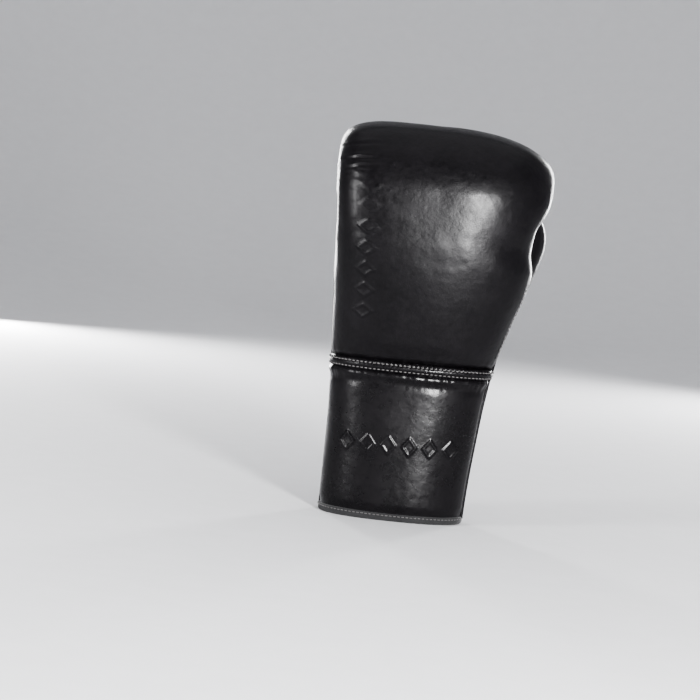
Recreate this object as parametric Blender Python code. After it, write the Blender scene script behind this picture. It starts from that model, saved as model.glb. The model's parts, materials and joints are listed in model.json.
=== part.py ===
"""Lace-up boxing glove for the left hand, standing on the hem of its cuff.

+Z runs up the forearm to the fist, -Y is the back of the hand, +Y the palm and +X the thumb's side.
The origin is the middle of the hem's lower face.  Sizes in this file are millimetres until MM scales them.

The outer form is one loft: ROWS gives the section at each station from the hem up to the knuckles, and from
there the sections fan round the crease under the curled fingers.  Every cover, foam and lining is a block of
that loft, between two angles, two stations and two depths under the outer surface.
"""

import functools
import math

import bmesh
import bpy
import numpy as np
from mathutils import Matrix, Vector

MM = 0.001

# Driving dimensions
WRIST_Z = 116.0  # the stitched wrist seam, where the cuff ends and the hand begins
PAD_TOP_Z = 177.0  # upper end of the padded strips on the palm side
HEM_TAPE = 6.0  # height of the tape that binds the hem
SKIN = 1.4  # leather thickness
LINING = 0.8  # lining thickness
GAP = 0.35  # clearance between neighbouring pieces
SEAM_GAP = 0.6  # clearance between the pieces that meet at a side seam
LAYER_GAP = 0.6  # clearance between one layer and the next one in
WRIST_SWING = 8.0  # degrees the hand tips on the cuff, each way
CURL_OPENS = 12.0  # degrees the curled fingers open
WRIST_ROOM = 1.0  # least clearance between cuff and hand, on the wrist's hinge line

# The crease under the curled fingers is a narrow channel along X, and the finger sections fan round it.
CREASE_Y, CREASE_Z, CREASE_R = 14.0, 226.0, 2.0

# Palm opening: a slit from the hem that widens into a keyhole.
SLIT_X_AT_HEM, SLIT_LEAN = 7.0, 0.081
SLIT_HALF = 2.6
KEYHOLE_HALF, KEYHOLE_ARCH_Z, KEYHOLE_NECK_Z = 10.5, 175.0, 142.0
TAPE_WIDTH = 4.2  # binding tape on the opening's edge
STRIP_WIDTH = 16.5  # lace strip, from the opening's edge to the padded panel
HOLE_FROM_EDGE = 10.0
HOLE_R = 2.7
LACE_ROWS = (10.0, 34.0, 58.0, 82.0, 106.0, 130.0, 154.0)
LACE_R = 1.6
STRIP_MIDDLE = 2.9  # depth of the strip's middle, where the lace goes through it
LACE_LIFT = 4.0  # the lace's centre over or under that
LACE_TAIL_LIFT = -9.8  # the ends lie behind the strips, inside the cuff
TAIL_TOP_Z = 58.0
LACE_TIP_LENGTH = 14.0
PIPING_R = 1.3

# Seams run up both sides; angles are degrees round the section, from the thumb's side through the palm.
LITTLE_SEAM, THUMB_SEAM = 170.0, -8.0
STEP = 15.0  # degrees between facets round a section
TIP_CROWD = 0.1  # stations left between rings that crowd together where a cup's inside ends

# Sections below the crease: back y, back z, palm y, palm z, little-finger x, thumb x, and how square the
# section's two ends are (2 is an ellipse, more is squarer).
LOWER_ROWS = (
    (-33.0, 0.0, 32.0, 0.0, -55.0, 54.0, 2.3, 2.3),
    (-34.0, 30.0, 33.0, 30.0, -55.0, 55.5, 2.3, 2.3),
    (-34.5, 60.0, 33.0, 60.0, -55.0, 58.0, 2.3, 2.3),
    (-35.0, 90.0, 33.0, 90.0, -55.5, 61.0, 2.3, 2.3),
    (-36.0, 116.0, 33.5, 116.0, -57.0, 65.0, 2.4, 2.3),
    (-43.0, 135.0, 34.0, 135.0, -58.0, 70.0, 2.5, 2.3),
    (-49.0, 155.0, 34.5, 155.0, -59.5, 76.0, 2.6, 2.3),
    (-54.0, 177.0, 34.0, 177.0, -61.0, 83.0, 2.8, 2.3),
    (-57.0, 195.0, 31.5, 193.0, -62.0, 86.0, 3.0, 2.3),
    (-58.5, 211.0, 26.0, 208.0, -63.0, 83.0, 3.2, 2.3),
)
# Finger sections: angle of the section plane above +Y, outer radius from the crease, then as above.
FAN_ROWS = (
    (180.0, 72.5, -64.0, 85.0, 3.4, 2.3),
    (165.0, 74.0, -65.0, 90.0, 3.8, 2.3),
    (150.0, 76.0, -66.0, 94.0, 4.0, 2.3),
    (135.0, 77.5, -67.0, 95.5, 4.2, 2.3),
    (120.0, 77.5, -67.0, 96.0, 4.3, 2.3),
    (105.0, 74.0, -67.0, 96.0, 4.3, 2.3),
    (90.0, 72.0, -67.0, 95.5, 4.2, 2.3),
    (75.0, 72.0, -66.5, 93.5, 4.0, 2.4),
    (60.0, 71.0, -65.5, 90.5, 3.8, 2.4),
    (45.0, 67.5, -64.0, 87.0, 3.6, 2.5),
    (30.0, 61.0, -62.0, 84.0, 3.4, 2.5),
    (15.0, 54.5, -58.0, 80.0, 3.2, 2.6),
    (0.0, 49.0, -52.0, 75.0, 3.0, 2.6),
    (-16.0, 44.0, -43.0, 68.0, 2.8, 2.6),
    (-32.0, 36.5, -33.0, 59.0, 2.6, 2.6),
    (-46.0, 27.0, -23.0, 49.0, 2.5, 2.5),
)

# Thumb: centre x, y, z of each section, and its half-widths along X and Y.
THUMB_ROWS = (
    (56.0, 21.0, 146.0, 17.5, 18.0),
    (59.5, 23.5, 160.0, 19.5, 20.5),
    (64.5, 27.0, 177.0, 21.0, 22.0),
    (70.5, 29.5, 194.0, 21.5, 22.5),
    (75.0, 31.0, 210.0, 21.5, 22.0),
    (77.0, 31.5, 223.0, 20.0, 20.0),
    (76.5, 31.0, 235.0, 16.0, 16.0),
    (75.5, 30.5, 243.0, 9.5, 9.5),
)
THUMB_TIP = (75.0, 30.0, 247.0)
THUMB_ROOM = 45.0
# The way from the hand's hollow into the thumb: a round hole between these two places.
THUMB_MOUTH = ((30.0, 0.0, 150.0), (61.0, 25.0, 179.0))
THUMB_MOUTH_R = 9.5

# Joint places: each hinge's axis runs through its place, along X or, for the thumb, along Y.
WRIST_HINGE = (4.0, 0.0, WRIST_Z)
FINGER_HINGE = (4.0, CREASE_Y - 72.5, CREASE_Z)
THUMB_HINGE = (67.0, 22.0, 139.0)

# The middle of the whole glove, moved to the origin at the end.
MIDDLE_X, MIDDLE_Y = 15.2, 4.15

COLOURS = {
    "leather": ((0.022, 0.021, 0.024), 0.34),
    "tape": ((0.055, 0.055, 0.058), 0.85),
    "foam": ((0.16, 0.15, 0.14), 0.95),
    "soft_foam": ((0.45, 0.42, 0.36), 0.95),
    "lining": ((0.035, 0.035, 0.04), 0.80),
    "lace": ((0.02, 0.02, 0.021), 0.75),
    "lace_tip": ((0.012, 0.012, 0.012), 0.35),
}


def fan_row(angle, radius, *rest):
    """A finger section as a row of the loft, its plane turned about the crease."""
    c, s = math.cos(math.radians(angle)), math.sin(math.radians(angle))
    outer = (CREASE_Y + radius * c, CREASE_Z + radius * s)
    inner = (CREASE_Y + CREASE_R * c, CREASE_Z + CREASE_R * s)
    return (*outer, *inner, *rest)


ROWS = np.array([*LOWER_ROWS, *(fan_row(*row) for row in FAN_ROWS)])
FINGERS_T = float(len(LOWER_ROWS))  # station where the finger sections start
TIP_T = float(len(ROWS) - 1)
WRIST_T = 4.0


def smooth_rows(rows, t):
    """The rows' values at station t, on a curve that never overshoots them."""
    t = min(max(t, 0.0), len(rows) - 1.0)
    i = min(int(t), len(rows) - 2)
    steps = np.diff(rows, axis=0)

    def slope(k):
        if k == 0 or k == len(rows) - 1:
            return steps[min(k, len(steps) - 1)]
        a, b = steps[k - 1], steps[k]
        same_way = a * b > 0
        return np.where(same_way, 2 * a * b / np.where(same_way, a + b, 1), 0)

    u = t - i
    return (
        (2 * u**3 - 3 * u**2 + 1) * rows[i]
        + (u**3 - 2 * u**2 + u) * slope(i)
        + (3 * u**2 - 2 * u**3) * rows[i + 1]
        + (u**3 - u**2) * slope(i + 1)
    )


def station(z):
    """The station whose level section is at height z, below the crease."""
    low, high = 0.0, 7.0
    for _ in range(40):
        middle = (low + high) / 2
        if smooth_rows(ROWS, middle)[1] < z:
            low = middle
        else:
            high = middle
    return (low + high) / 2


def surface(t, angle, inset=(0.0, 0.0, 0.0)):
    """The point at station t and angle (degrees), at depths (back, palm, side) under the outer surface."""
    back_y, back_z, palm_y, palm_z, x_little, x_thumb, square_little, square_thumb = smooth_rows(ROWS, t)
    back, palm = Vector((back_y, back_z)), Vector((palm_y, palm_z))
    across = (palm - back).normalized()
    back = back + across * inset[0]
    palm = palm - across * inset[1]
    x_little, x_thumb = x_little + inset[2], x_thumb - inset[2]
    c, s = math.cos(math.radians(angle)), math.sin(math.radians(angle))
    n = square_thumb if c > 0 else square_little
    reach = (abs(c) ** n + abs(s) ** n) ** (-1 / n)
    middle = (back + palm) / 2
    side = (palm - back) / 2 * reach * s
    x = (x_little + x_thumb) / 2 + (x_thumb - x_little) / 2 * reach * c
    return Vector((x, middle.x + side.x, middle.y + side.y))


def slit_x(z):
    """The middle of the palm opening at height z."""
    return SLIT_X_AT_HEM + SLIT_LEAN * z


def opening_half(z):
    """Half the palm opening's width at height z, below its arch."""
    u = min(max((z - KEYHOLE_NECK_Z) / (KEYHOLE_ARCH_Z - KEYHOLE_NECK_Z), 0.0), 1.0)
    return SLIT_HALF + (KEYHOLE_HALF - SLIT_HALF) * u * u * (3 - 2 * u)


def angle_at(t, x, inset):
    """The angle on the palm side whose point has this x."""
    low, high = 2.0, 178.0
    for _ in range(30):
        middle = (low + high) / 2
        if surface(t, middle, inset).x > x:
            low = middle
        else:
            high = middle
    return (low + high) / 2


def level(t):
    return smooth_rows(ROWS, t)[1]


def seam_angle(seam, shift, inset):
    """The angle, as a function of station, where a layer at this inset meets the side seam's plane.

    seam is LITTLE_SEAM or THUMB_SEAM, and shift moves the plane along +Y.
    """
    side = 180.0 if seam == LITTLE_SEAM else 0.0

    def angle(t):
        y = surface(t, seam).y + shift
        low, high = side - 80.0, side + 80.0
        rising = surface(t, low, inset(t)).y < surface(t, high, inset(t)).y
        for _ in range(30):
            middle = (low + high) / 2
            if (surface(t, middle, inset(t)).y < y) == rising:
                low = middle
            else:
                high = middle
        return (low + high) / 2

    return angle


# Depths (back, palm, side) under the outer surface, at station t.
def at(depth):
    return lambda t: (depth, depth, depth)


def graded(stations, back, palm, side, plus=0.0):
    """Depths that change along the glove, each interpolated between the stations."""

    def depths(t):
        return tuple(float(np.interp(t, stations, values)) + plus for values in (back, palm, side))

    return depths


def hand_pad(plus=0.0):
    return graded((0, WRIST_T, FINGERS_T), (11, 11, 38), (9.5, 9.5, 6.5), (10, 10, 12), plus)


def palm_pad(plus=0.0):
    return at(4.5 + plus)


def wrist_pad(plus=0.0):
    return at(9.5 + plus)


def impact_pad(plus=0.0):
    return graded((10, 18, 25), (20, 20, 11), (3.5, 3.5, 3.5), (13, 13, 8), plus)


def inner_pad(plus=0.0):
    return graded((10, 16, 22), (38, 36, 25), (6.5, 6.5, 6), (28, 28, 18), plus)


def material(name):
    made = bpy.data.materials.get(name)
    if made is None:
        colour, roughness = COLOURS[name]
        made = bpy.data.materials.new(name)
        made.use_nodes = True
        shader = made.node_tree.nodes["Principled BSDF"]
        shader.inputs["Base Color"].default_value = (*colour, 1)
        shader.inputs["Roughness"].default_value = roughness
        shader.inputs["Metallic"].default_value = 0.0
    return made


def new_object(name, points, faces, stuff):
    mesh = bpy.data.meshes.new(name)
    mesh.from_pydata([Vector(p) * MM for p in points], [], faces)
    form = bmesh.new()
    form.from_mesh(mesh)
    bmesh.ops.remove_doubles(form, verts=form.verts, dist=1e-6)
    bmesh.ops.recalc_face_normals(form, faces=form.faces)
    form.to_mesh(mesh)
    form.free()
    made = bpy.data.objects.new(name, mesh)
    bpy.context.scene.collection.objects.link(made)
    if stuff:
        mesh.materials.append(material(stuff))
        mesh.shade_smooth()
        mesh.set_sharp_from_angle(angle=math.radians(40))
    else:
        made.hide_render = True
        made.display_type = "WIRE"
    return made


def block(name, stuff, outer, inner, angles, stations, tip=None):
    """A closed solid between two depths of the loft.

    outer and inner give the depths at a station.  angles takes a depth and gives the block's two edges at that
    depth, or is None for the whole ring.  stations is (first, last), each a number or a function of the angle.
    tip, for a cup, is the station where the inner surface ends.
    """
    ring = angles is None
    if ring:
        ends = inner_ends = (lambda t: 0.0, lambda t: 360.0)
    else:
        ends, inner_ends = angles(outer), angles(inner)
    edges = [s if callable(s) else (lambda a, s=s: s) for s in stations]
    nominal = [edge(270.0 if ring else ends[0](WRIST_T)) for edge in edges]
    span = max(abs(ends[1](t) - ends[0](t)) for t in nominal)
    across = max(2, math.ceil(span / STEP))
    whole = [t for t in range(1, len(ROWS)) if nominal[0] + 0.6 < t < nominal[1] - 0.25]
    along = len(whole) + 1

    def grid(depths, ends, limit):
        points = []
        for j in range(along + 1):
            rough = min([nominal[0], *whole, nominal[1]][j], limit - TIP_CROWD * (along - j))
            for i in range(across + (0 if ring else 1)):
                angle = ends[0](rough) + (ends[1](rough) - ends[0](rough)) * i / across
                t = edges[0](angle) if j == 0 else edges[1](angle) if j == along and not ring else rough
                points.append(surface(t, angle, depths(t)))
        return points

    points = grid(outer, ends, math.inf)
    count, wide = len(points), across if ring else across + 1
    points += grid(inner, inner_ends, math.inf if tip is None else tip)
    faces = []
    for j in range(along):
        for i in range(across):
            k, m = j * wide + i, j * wide + (i + 1) % wide
            faces.append((k, m, m + wide, k + wide))
            faces.append((count + k, count + k + wide, count + m + wide, count + m))
    rims = [0] if tip is not None else [0, along]
    for j in rims:
        for i in range(across):
            k, m = j * wide + i, j * wide + (i + 1) % wide
            faces.append((k, count + k, count + m, m))
    if not ring:
        for i in (0, across):
            for j in range(along):
                k = j * wide + i
                faces.append((k, k + wide, count + k + wide, count + k))
    if tip is not None:
        for start in (0, count):
            last = [start + along * wide + i for i in range(wide)]
            points.append(sum((points[k] for k in last), Vector()) / wide)
            for i in range(wide):
                faces.append((last[i], last[(i + 1) % wide], len(points) - 1))
    return new_object(name, points, faces, stuff)


def prism(name, outline):
    """A cutter through the palm side: an outline in X and Z, carried along +Y."""
    n = len(outline)
    points = [(x, y, z) for y in (2.0, 60.0) for x, z in outline]
    faces = [tuple(range(n)), tuple(range(n, 2 * n))]
    faces += [(i, (i + 1) % n, n + (i + 1) % n, n + i) for i in range(n)]
    return new_object(name, points, faces, None)


def opening_outline(margin, low_z):
    """The palm opening's outline, widened by margin, from low_z up over the arch."""
    left, right = [], []
    for z in np.linspace(low_z, KEYHOLE_ARCH_Z, 7):
        half = opening_half(z) + margin
        left.append((slit_x(z) - half, z))
        right.append((slit_x(z) + half, z))
    arch = [math.radians(a) for a in range(20, 180, 20)]
    centre, radius = slit_x(KEYHOLE_ARCH_Z), KEYHOLE_HALF + margin
    over = [(centre + radius * math.cos(a), KEYHOLE_ARCH_Z + radius * math.sin(a)) for a in arch]
    return [*left[::-1], *right, *over][::-1]


def combine(made, cutter, operation):
    modifier = made.modifiers.new(cutter.name, "BOOLEAN")
    modifier.operation = operation
    modifier.object = cutter
    modifier.solver = "EXACT"
    return made


def cut(made, *cutters):
    for cutter in cutters:
        combine(made, cutter, "DIFFERENCE")
    return made


def thumb_section(row, depth, sides):
    x, y, z, half_x, half_y = row
    half_x, half_y = half_x - depth, half_y - depth
    turn = [2 * math.pi * i / sides for i in range(sides)]
    return [(x + half_x * math.cos(a), y + half_y * math.sin(a), z) for a in turn]


def thumb_form(depth, first=0.0, tip_drop=0.0, sides=14, count=7):
    """Rings and tip point of the thumb, depth under its outer surface."""
    rows = np.array(THUMB_ROWS)
    last = len(rows) - 1 - tip_drop
    rings = [
        thumb_section(smooth_rows(rows, first + (last - first) * j / (count - 1)), depth, sides)
        for j in range(count)
    ]
    x, y, z = THUMB_TIP
    return rings, (x, y, z - depth)


def thumb_cup(name, stuff, outer, inner, first, drop_outer=0.0, drop_inner=0.0):
    """A thumb layer: closed at the tip, open at the base where the hand goes in."""
    rings, tip = thumb_form(outer, first, drop_outer)
    inner_rings, inner_tip = thumb_form(inner, first, drop_inner)
    sides = len(rings[0])
    points = [p for ring in rings for p in ring] + [tip]
    count = len(points)
    points += [p for ring in inner_rings for p in ring] + [inner_tip]
    faces = []
    for start in (0, count):
        for j in range(len(rings) - 1):
            for i in range(sides):
                k, m = start + j * sides + i, start + j * sides + (i + 1) % sides
                faces.append((k, m, m + sides, k + sides))
        last = start + (len(rings) - 1) * sides
        faces += [(last + i, last + (i + 1) % sides, start + len(rings) * sides) for i in range(sides)]
    faces += [(i, (i + 1) % sides, count + (i + 1) % sides, count + i) for i in range(sides)]
    return new_object(name, points, faces, stuff)


def thumb_cutter(name, grow, opened=0.0):
    """The thumb, grown all round, as a cutter; opened turns it as the fist sees it when the fingers open.

    Its outer half is drawn out along +X, which keeps the thumb's way out clear.
    """
    rings, tip = thumb_form(-grow, 0.0, 0.0, 14, 6)
    rings.insert(0, [(x, y, z - grow) for x, y, z in rings[0]])
    sides = len(rings[0])
    points = []
    for ring in rings:
        middle = sum(x for x, y, z in ring) / sides
        points += [(x + THUMB_ROOM if x > middle + 0.1 else x, y, z) for x, y, z in ring]
    points.append(tip)
    faces = [tuple(range(sides))]
    for j in range(len(rings) - 1):
        for i in range(sides):
            k, m = j * sides + i, j * sides + (i + 1) % sides
            faces.append((k, m, m + sides, k + sides))
    last = (len(rings) - 1) * sides
    faces += [(last + i, last + (i + 1) % sides, len(points) - 1) for i in range(sides)]
    made = new_object(name, points, faces, None)
    hinge = Vector(FINGER_HINGE) * MM
    turn = Matrix.Translation(hinge) @ Matrix.Rotation(math.radians(-opened), 4, "X")
    made.matrix_world = turn @ Matrix.Translation(-hinge)
    return made


def hand_edge(angle):
    """The station of the hand's lower edge: it rises away from the wrist's hinge line, so the hand can tip."""
    y = surface(WRIST_T, angle).y
    clear = WRIST_ROOM + abs(y) * math.tan(math.radians(WRIST_SWING)) * 1.08
    return station(WRIST_Z + clear)


def round_hole(name, ends, radius, sides):
    """Round rods between pairs of places, as one cutter."""
    points, faces = [], []
    for low, high in ends:
        axis = (high - low).normalized()
        one = axis.cross(Vector((0, 0, 1))).normalized()
        two = axis.cross(one)
        base = len(points)
        for end in (low, high):
            for i in range(sides):
                a = 2 * math.pi * i / sides
                points.append(end + (one * math.cos(a) + two * math.sin(a)) * radius)
        faces.append(tuple(base + i for i in range(sides)))
        faces.append(tuple(base + sides + i for i in range(sides)))
        for i in range(sides):
            j = (i + 1) % sides
            faces.append((base + i, base + j, base + sides + j, base + sides + i))
    return new_object(name, points, faces, None)


def hole_cutters(name, side, rows):
    """The holes through one lace strip, as one cutter."""
    places = [(side * (opening_half(row) + HOLE_FROM_EDGE), row) for row in rows]
    ends = [(lace_place(x, z, -7.0), lace_place(x, z, 7.0)) for x, z in places]
    return round_hole(name, ends, HOLE_R, 10)


def back_span(inset, gap=SEAM_GAP):
    """The edges of a block on the back of the glove, from seam to seam."""
    thumb_edge = seam_angle(THUMB_SEAM, -gap / 2, inset)
    return seam_angle(LITTLE_SEAM, -gap / 2, inset), lambda t: 360 + thumb_edge(t)


def front_span(inset):
    """The edges of a block on the palm side, from seam to seam."""
    return seam_angle(THUMB_SEAM, SEAM_GAP / 2, inset), seam_angle(LITTLE_SEAM, SEAM_GAP / 2, inset)


def edge_angle(side, offset, inset):
    """The angle, as a function of station, of the line that runs offset from the opening's edge."""

    def angle(t):
        z = level(t)
        return angle_at(t, slit_x(z) + side * (opening_half(z) + offset), inset(t))

    return angle


def palm_span(side, near, far=None):
    """The edges of a block from near to far of the opening's edge, or out to the side seam."""

    def edges(inset):
        inner_edge = edge_angle(side, near, inset)
        if far is not None:
            outer_edge = edge_angle(side, far, inset)
        else:
            outer_edge = seam_angle(LITTLE_SEAM if side < 0 else THUMB_SEAM, SEAM_GAP / 2, inset)
        return (inner_edge, outer_edge) if side < 0 else (outer_edge, inner_edge)

    return edges


def tube(name, stuff, path, radius):
    """A round cord along a path."""
    curve = bpy.data.curves.new(name, "CURVE")
    curve.dimensions = "3D"
    curve.bevel_depth = radius * MM
    curve.bevel_resolution = 2
    curve.use_fill_caps = True
    spline = curve.splines.new("POLY")
    spline.points.add(len(path) - 1)
    for point, place in zip(spline.points, path):
        point.co = (*(Vector(place) * MM), 1)
    made = bpy.data.objects.new(name, curve)
    bpy.context.scene.collection.objects.link(made)
    curve.materials.append(material(stuff))
    return made


def build_piping(name, seam, low, high):
    """A bead of piping along a side seam."""
    inset = at(-PIPING_R - GAP)
    angle = seam_angle(seam, 0.0, inset)
    stations = [low, *(t for t in range(1, 10) if low + 0.3 < t < high - 0.3), high]
    tube(name, "leather", [surface(t, angle(t), inset(t)) for t in stations], PIPING_R)


def build_cuff():
    """The back of the cuff: cover, foam, lining, hem tape, the stitched band at the wrist and the piping."""
    top, bottom = station(WRIST_Z - 0.5), station(HEM_TAPE + GAP)
    band = station(WRIST_Z - 8.5)
    block("cuff_back_leather", "leather", at(0.9), at(0.9 + SKIN), back_span, (bottom, top))
    block("cuff_back_foam", "foam", at(0.9 + SKIN + LAYER_GAP), hand_pad(), back_span, (bottom, top))
    block("cuff_back_lining", "lining", hand_pad(LAYER_GAP), hand_pad(LAYER_GAP + LINING), back_span, (bottom, top))
    beside_piping = functools.partial(back_span, gap=2 * PIPING_R + 2.0)
    block("wrist_seam_band", "leather", at(-1.1), at(0.0), beside_piping, (band, top))
    block("hem_tape_back", "tape", at(0.0), hand_pad(1.5), back_span, (0.0, station(HEM_TAPE)))
    build_piping("little_cuff_piping", LITTLE_SEAM, bottom, top)
    build_piping("thumbside_cuff_piping", THUMB_SEAM, bottom, top)


def build_flap(prefix, side):
    """One half of the cuff's palm side: padded panel, lace strip with its holes, edge tape and hem tape."""
    panel = (station(HEM_TAPE + GAP), station(WRIST_Z - 0.5))
    span = palm_span(side, STRIP_WIDTH + GAP)
    block(prefix + "_cuff_leather", "leather", at(0.0), at(SKIN), span, panel)
    block(prefix + "_cuff_foam", "foam", at(SKIN + LAYER_GAP), wrist_pad(), span, panel)
    block(prefix + "_cuff_lining", "lining", wrist_pad(LAYER_GAP), wrist_pad(LAYER_GAP + LINING), span, panel)
    strip = block(prefix + "_lace_strip", "leather", at(1.7), at(4.1),
                  palm_span(side, TAPE_WIDTH + GAP, STRIP_WIDTH), panel)
    rows = [row for row in LACE_ROWS if row < WRIST_Z]
    cut(strip, hole_cutters(prefix + "_hole_cutter", side, rows))
    block(prefix + "_slit_tape", "tape", at(0.9), at(4.9), palm_span(side, 0.0, TAPE_WIDTH), panel)
    block(prefix + "_hem_tape", "tape", at(0.0), wrist_pad(1.5), palm_span(side, 0.0), (0.0, station(HEM_TAPE)))


def build_hand(thumb_clear):
    """The hand: cover, foam and lining on the back and the palm."""
    end = FINGERS_T - 0.03
    palm_low = station(PAD_TOP_Z + 0.4)
    hollow = prism("keyhole_cutter", opening_outline(TAPE_WIDTH + GAP, 60.0))
    back, palm = (hand_edge, end), (palm_low, end)
    leather, foam = (at(0.0), at(SKIN)), at(SKIN + LAYER_GAP)
    cut(block("hand_back_leather", "leather", *leather, back_span, back), thumb_clear)
    cut(block("hand_back_foam", "foam", foam, hand_pad(), back_span, back), thumb_clear)
    cut(block("hand_back_lining", "lining", hand_pad(LAYER_GAP), hand_pad(LAYER_GAP + LINING), back_span, back), thumb_clear)
    cut(block("palm_leather", "leather", *leather, front_span, palm), hollow, thumb_clear)
    cut(block("palm_foam", "foam", foam, palm_pad(), front_span, palm), hollow, thumb_clear)
    cut(block("palm_lining", "lining", palm_pad(LAYER_GAP), palm_pad(LAYER_GAP + LINING), front_span, palm),
        hollow, thumb_clear)
    build_piping("little_hand_piping", LITTLE_SEAM, hand_edge(LITTLE_SEAM), 9.0)
    build_piping("thumbside_hand_piping", THUMB_SEAM, hand_edge(THUMB_SEAM), 9.0)


def build_wrist_pads(thumb_clear):
    """The palm side of the hand below the palm: pads, the upper lace strips and the keyhole's tape."""
    span = (hand_edge, station(PAD_TOP_Z))
    outer = prism("keyhole_tape_outer", opening_outline(TAPE_WIDTH, 60.0))
    inner = prism("keyhole_tape_inner", opening_outline(0.0, 50.0))
    around = prism("keyhole_tape_clearance", opening_outline(TAPE_WIDTH + GAP, 50.0))
    for prefix, side in (("little", -1), ("thumbside", 1)):
        wide = palm_span(side, STRIP_WIDTH + GAP)
        cut(block(prefix + "_wrist_leather", "leather", at(0.0), at(SKIN), wide, span), thumb_clear)
        cut(block(prefix + "_wrist_foam", "foam", at(SKIN + LAYER_GAP), wrist_pad(), wide, span), thumb_clear)
        cut(block(prefix + "_wrist_lining", "lining", wrist_pad(LAYER_GAP), wrist_pad(LAYER_GAP + LINING), wide, span),
            thumb_clear)
        strip = block(prefix + "_upper_strip", "leather", at(1.7), at(4.1), palm_span(side, 1.0, STRIP_WIDTH), span)
        rows = [row for row in LACE_ROWS if row > WRIST_Z]
        cut(strip, around, hole_cutters(prefix + "_upper_hole_cutter", side, rows), thumb_clear)
    tape = block("keyhole_tape", "tape", at(0.9), at(4.9), lambda inset: (lambda t: 40.0, lambda t: 130.0),
                 (hand_edge, station(176.0) + 1.2))
    combine(tape, outer, "INTERSECT")
    cut(tape, inner)


def lace_place(from_slit, z, lift):
    """A point of the lace: across from the slit's middle, up from the hem, and out from the strip's middle."""
    t = station(z)
    inset = at(STRIP_MIDDLE - lift)(t)
    return surface(t, angle_at(t, slit_x(z) + from_slit, inset), inset)


def blunted(path, cut_back):
    """The path with each corner cut off a little, so that a tube turns smoothly."""
    out = [path[0]]
    for before, corner, after in zip(path, path[1:], path[2:]):
        for other in (before, after):
            away = other - corner
            out.append(corner + away * min(0.45, cut_back / away.length))
    return [*out, path[-1]]


def lace_half(first_side):
    """Half the lace, from under the slit's top down to its end inside the cuff; first_side is its first hole's.

    It comes out of each hole, runs down to the slit, dives under the other strip and comes up the next hole.
    From the last but one it crosses over the slit and goes in.
    """
    path = []
    side = first_side
    for upper, lower in zip(LACE_ROWS[::-1], LACE_ROWS[-2::-1]):
        hole = side * (opening_half(upper) + HOLE_FROM_EDGE)
        path.append(lace_place(hole, upper, -LACE_LIFT))
        path.append(lace_place(hole, upper, LACE_LIFT))
        if lower != LACE_ROWS[0]:
            middle = (upper + lower) / 2 + 2.8 * first_side
            path.append(lace_place(side * 1.1, middle + 0.4, LACE_LIFT))
            path.append(lace_place(-side * 1.1, middle - 0.4, -LACE_LIFT))
        side = -side
    middle = (LACE_ROWS[0] + LACE_ROWS[1]) / 2
    over = LACE_LIFT + (2 * LACE_R + 0.6 if first_side > 0 else 0.0)
    path.append(lace_place(0.0, middle, over))
    hole = side * (opening_half(LACE_ROWS[0]) + HOLE_FROM_EDGE)
    path.append(lace_place(hole, LACE_ROWS[0], LACE_LIFT))
    path.append(lace_place(hole, LACE_ROWS[0], LACE_TAIL_LIFT))
    path.append(lace_place(hole, TAIL_TOP_Z, LACE_TAIL_LIFT))
    return path


def build_lace():
    """One lace, its two ends tucked inside the cuff, and the tip on each end."""
    halves = [lace_half(side) for side in (-1, 1)]
    tube("lace", "lace", blunted([*halves[0][::-1], *halves[1]], 1.2), LACE_R)
    for prefix, half in zip(("thumbside", "little"), halves):
        along = (half[-1] - half[-2]).normalized()
        start = half[-1] + along * GAP
        tube(prefix + "_lace_tip", "lace_tip", [start, start + along * LACE_TIP_LENGTH], LACE_R + 0.1)


def build_grip():
    """The padded bar across the palm that the fingers close on."""
    sides, radius, half = 12, 7.5, 28.0
    centre = Vector((-2.0, 8.0, 203.0))
    points, faces = [], []
    ends = ((-half, 4.0), (-half + 4, 6.5), (-half + 10, radius), (half - 10, radius), (half - 4, 6.5), (half, 4.0))
    for x, r in ends:
        for i in range(sides):
            a = 2 * math.pi * i / sides
            points.append(centre + Vector((x, r * math.cos(a), r * math.sin(a))))
    for j in range(len(ends) - 1):
        for i in range(sides):
            k, m = j * sides + i, j * sides + (i + 1) % sides
            faces.append((k, m, m + sides, k + sides))
    faces.append(tuple(range(sides)))
    faces.append(tuple(range((len(ends) - 1) * sides, len(ends) * sides)))
    return new_object("grip_bar", points, faces, "soft_foam")


def build_fingers(thumb_clears):
    """The curled fist: leather cover, firm outer foam, soft inner foam and the finger lining, one in another."""
    start = FINGERS_T
    layers = (
        ("fist_leather", "leather", at(0.0), at(SKIN), TIP_T, TIP_T - 0.2),
        ("fist_impact_foam", "foam", at(SKIN + LAYER_GAP), impact_pad(), TIP_T - 0.4, TIP_T - 1.2),
        ("fist_inner_foam", "soft_foam", impact_pad(LAYER_GAP), inner_pad(), TIP_T - 1.5, TIP_T - 3.2),
        ("finger_lining", "lining", inner_pad(LAYER_GAP), inner_pad(LAYER_GAP + LINING), TIP_T - 3.4, TIP_T - 3.6),
    )
    for name, stuff, outer, inner, last, tip in layers:
        cut(block(name, stuff, outer, inner, None, (start, last), tip), *thumb_clears)


def build_thumb():
    """The thumb: leather, foam and lining cups, with the way in from the hand's hollow."""
    mouth = round_hole("thumb_mouth_cutter", [[Vector(place) for place in THUMB_MOUTH]], THUMB_MOUTH_R, 12)
    cut(thumb_cup("thumb_leather", "leather", 0.0, SKIN, 0.0), mouth)
    cut(thumb_cup("thumb_foam", "foam", SKIN + LAYER_GAP, 7.5, 0.0, 0.0, 0.9), mouth)
    cut(thumb_cup("thumb_lining", "lining", 7.5 + LAYER_GAP, 7.5 + LAYER_GAP + LINING, 0.0, 1.0, 1.0), mouth)


def clear_scene():
    for thing in list(bpy.data.objects):
        bpy.data.objects.remove(thing, do_unlink=True)


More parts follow.
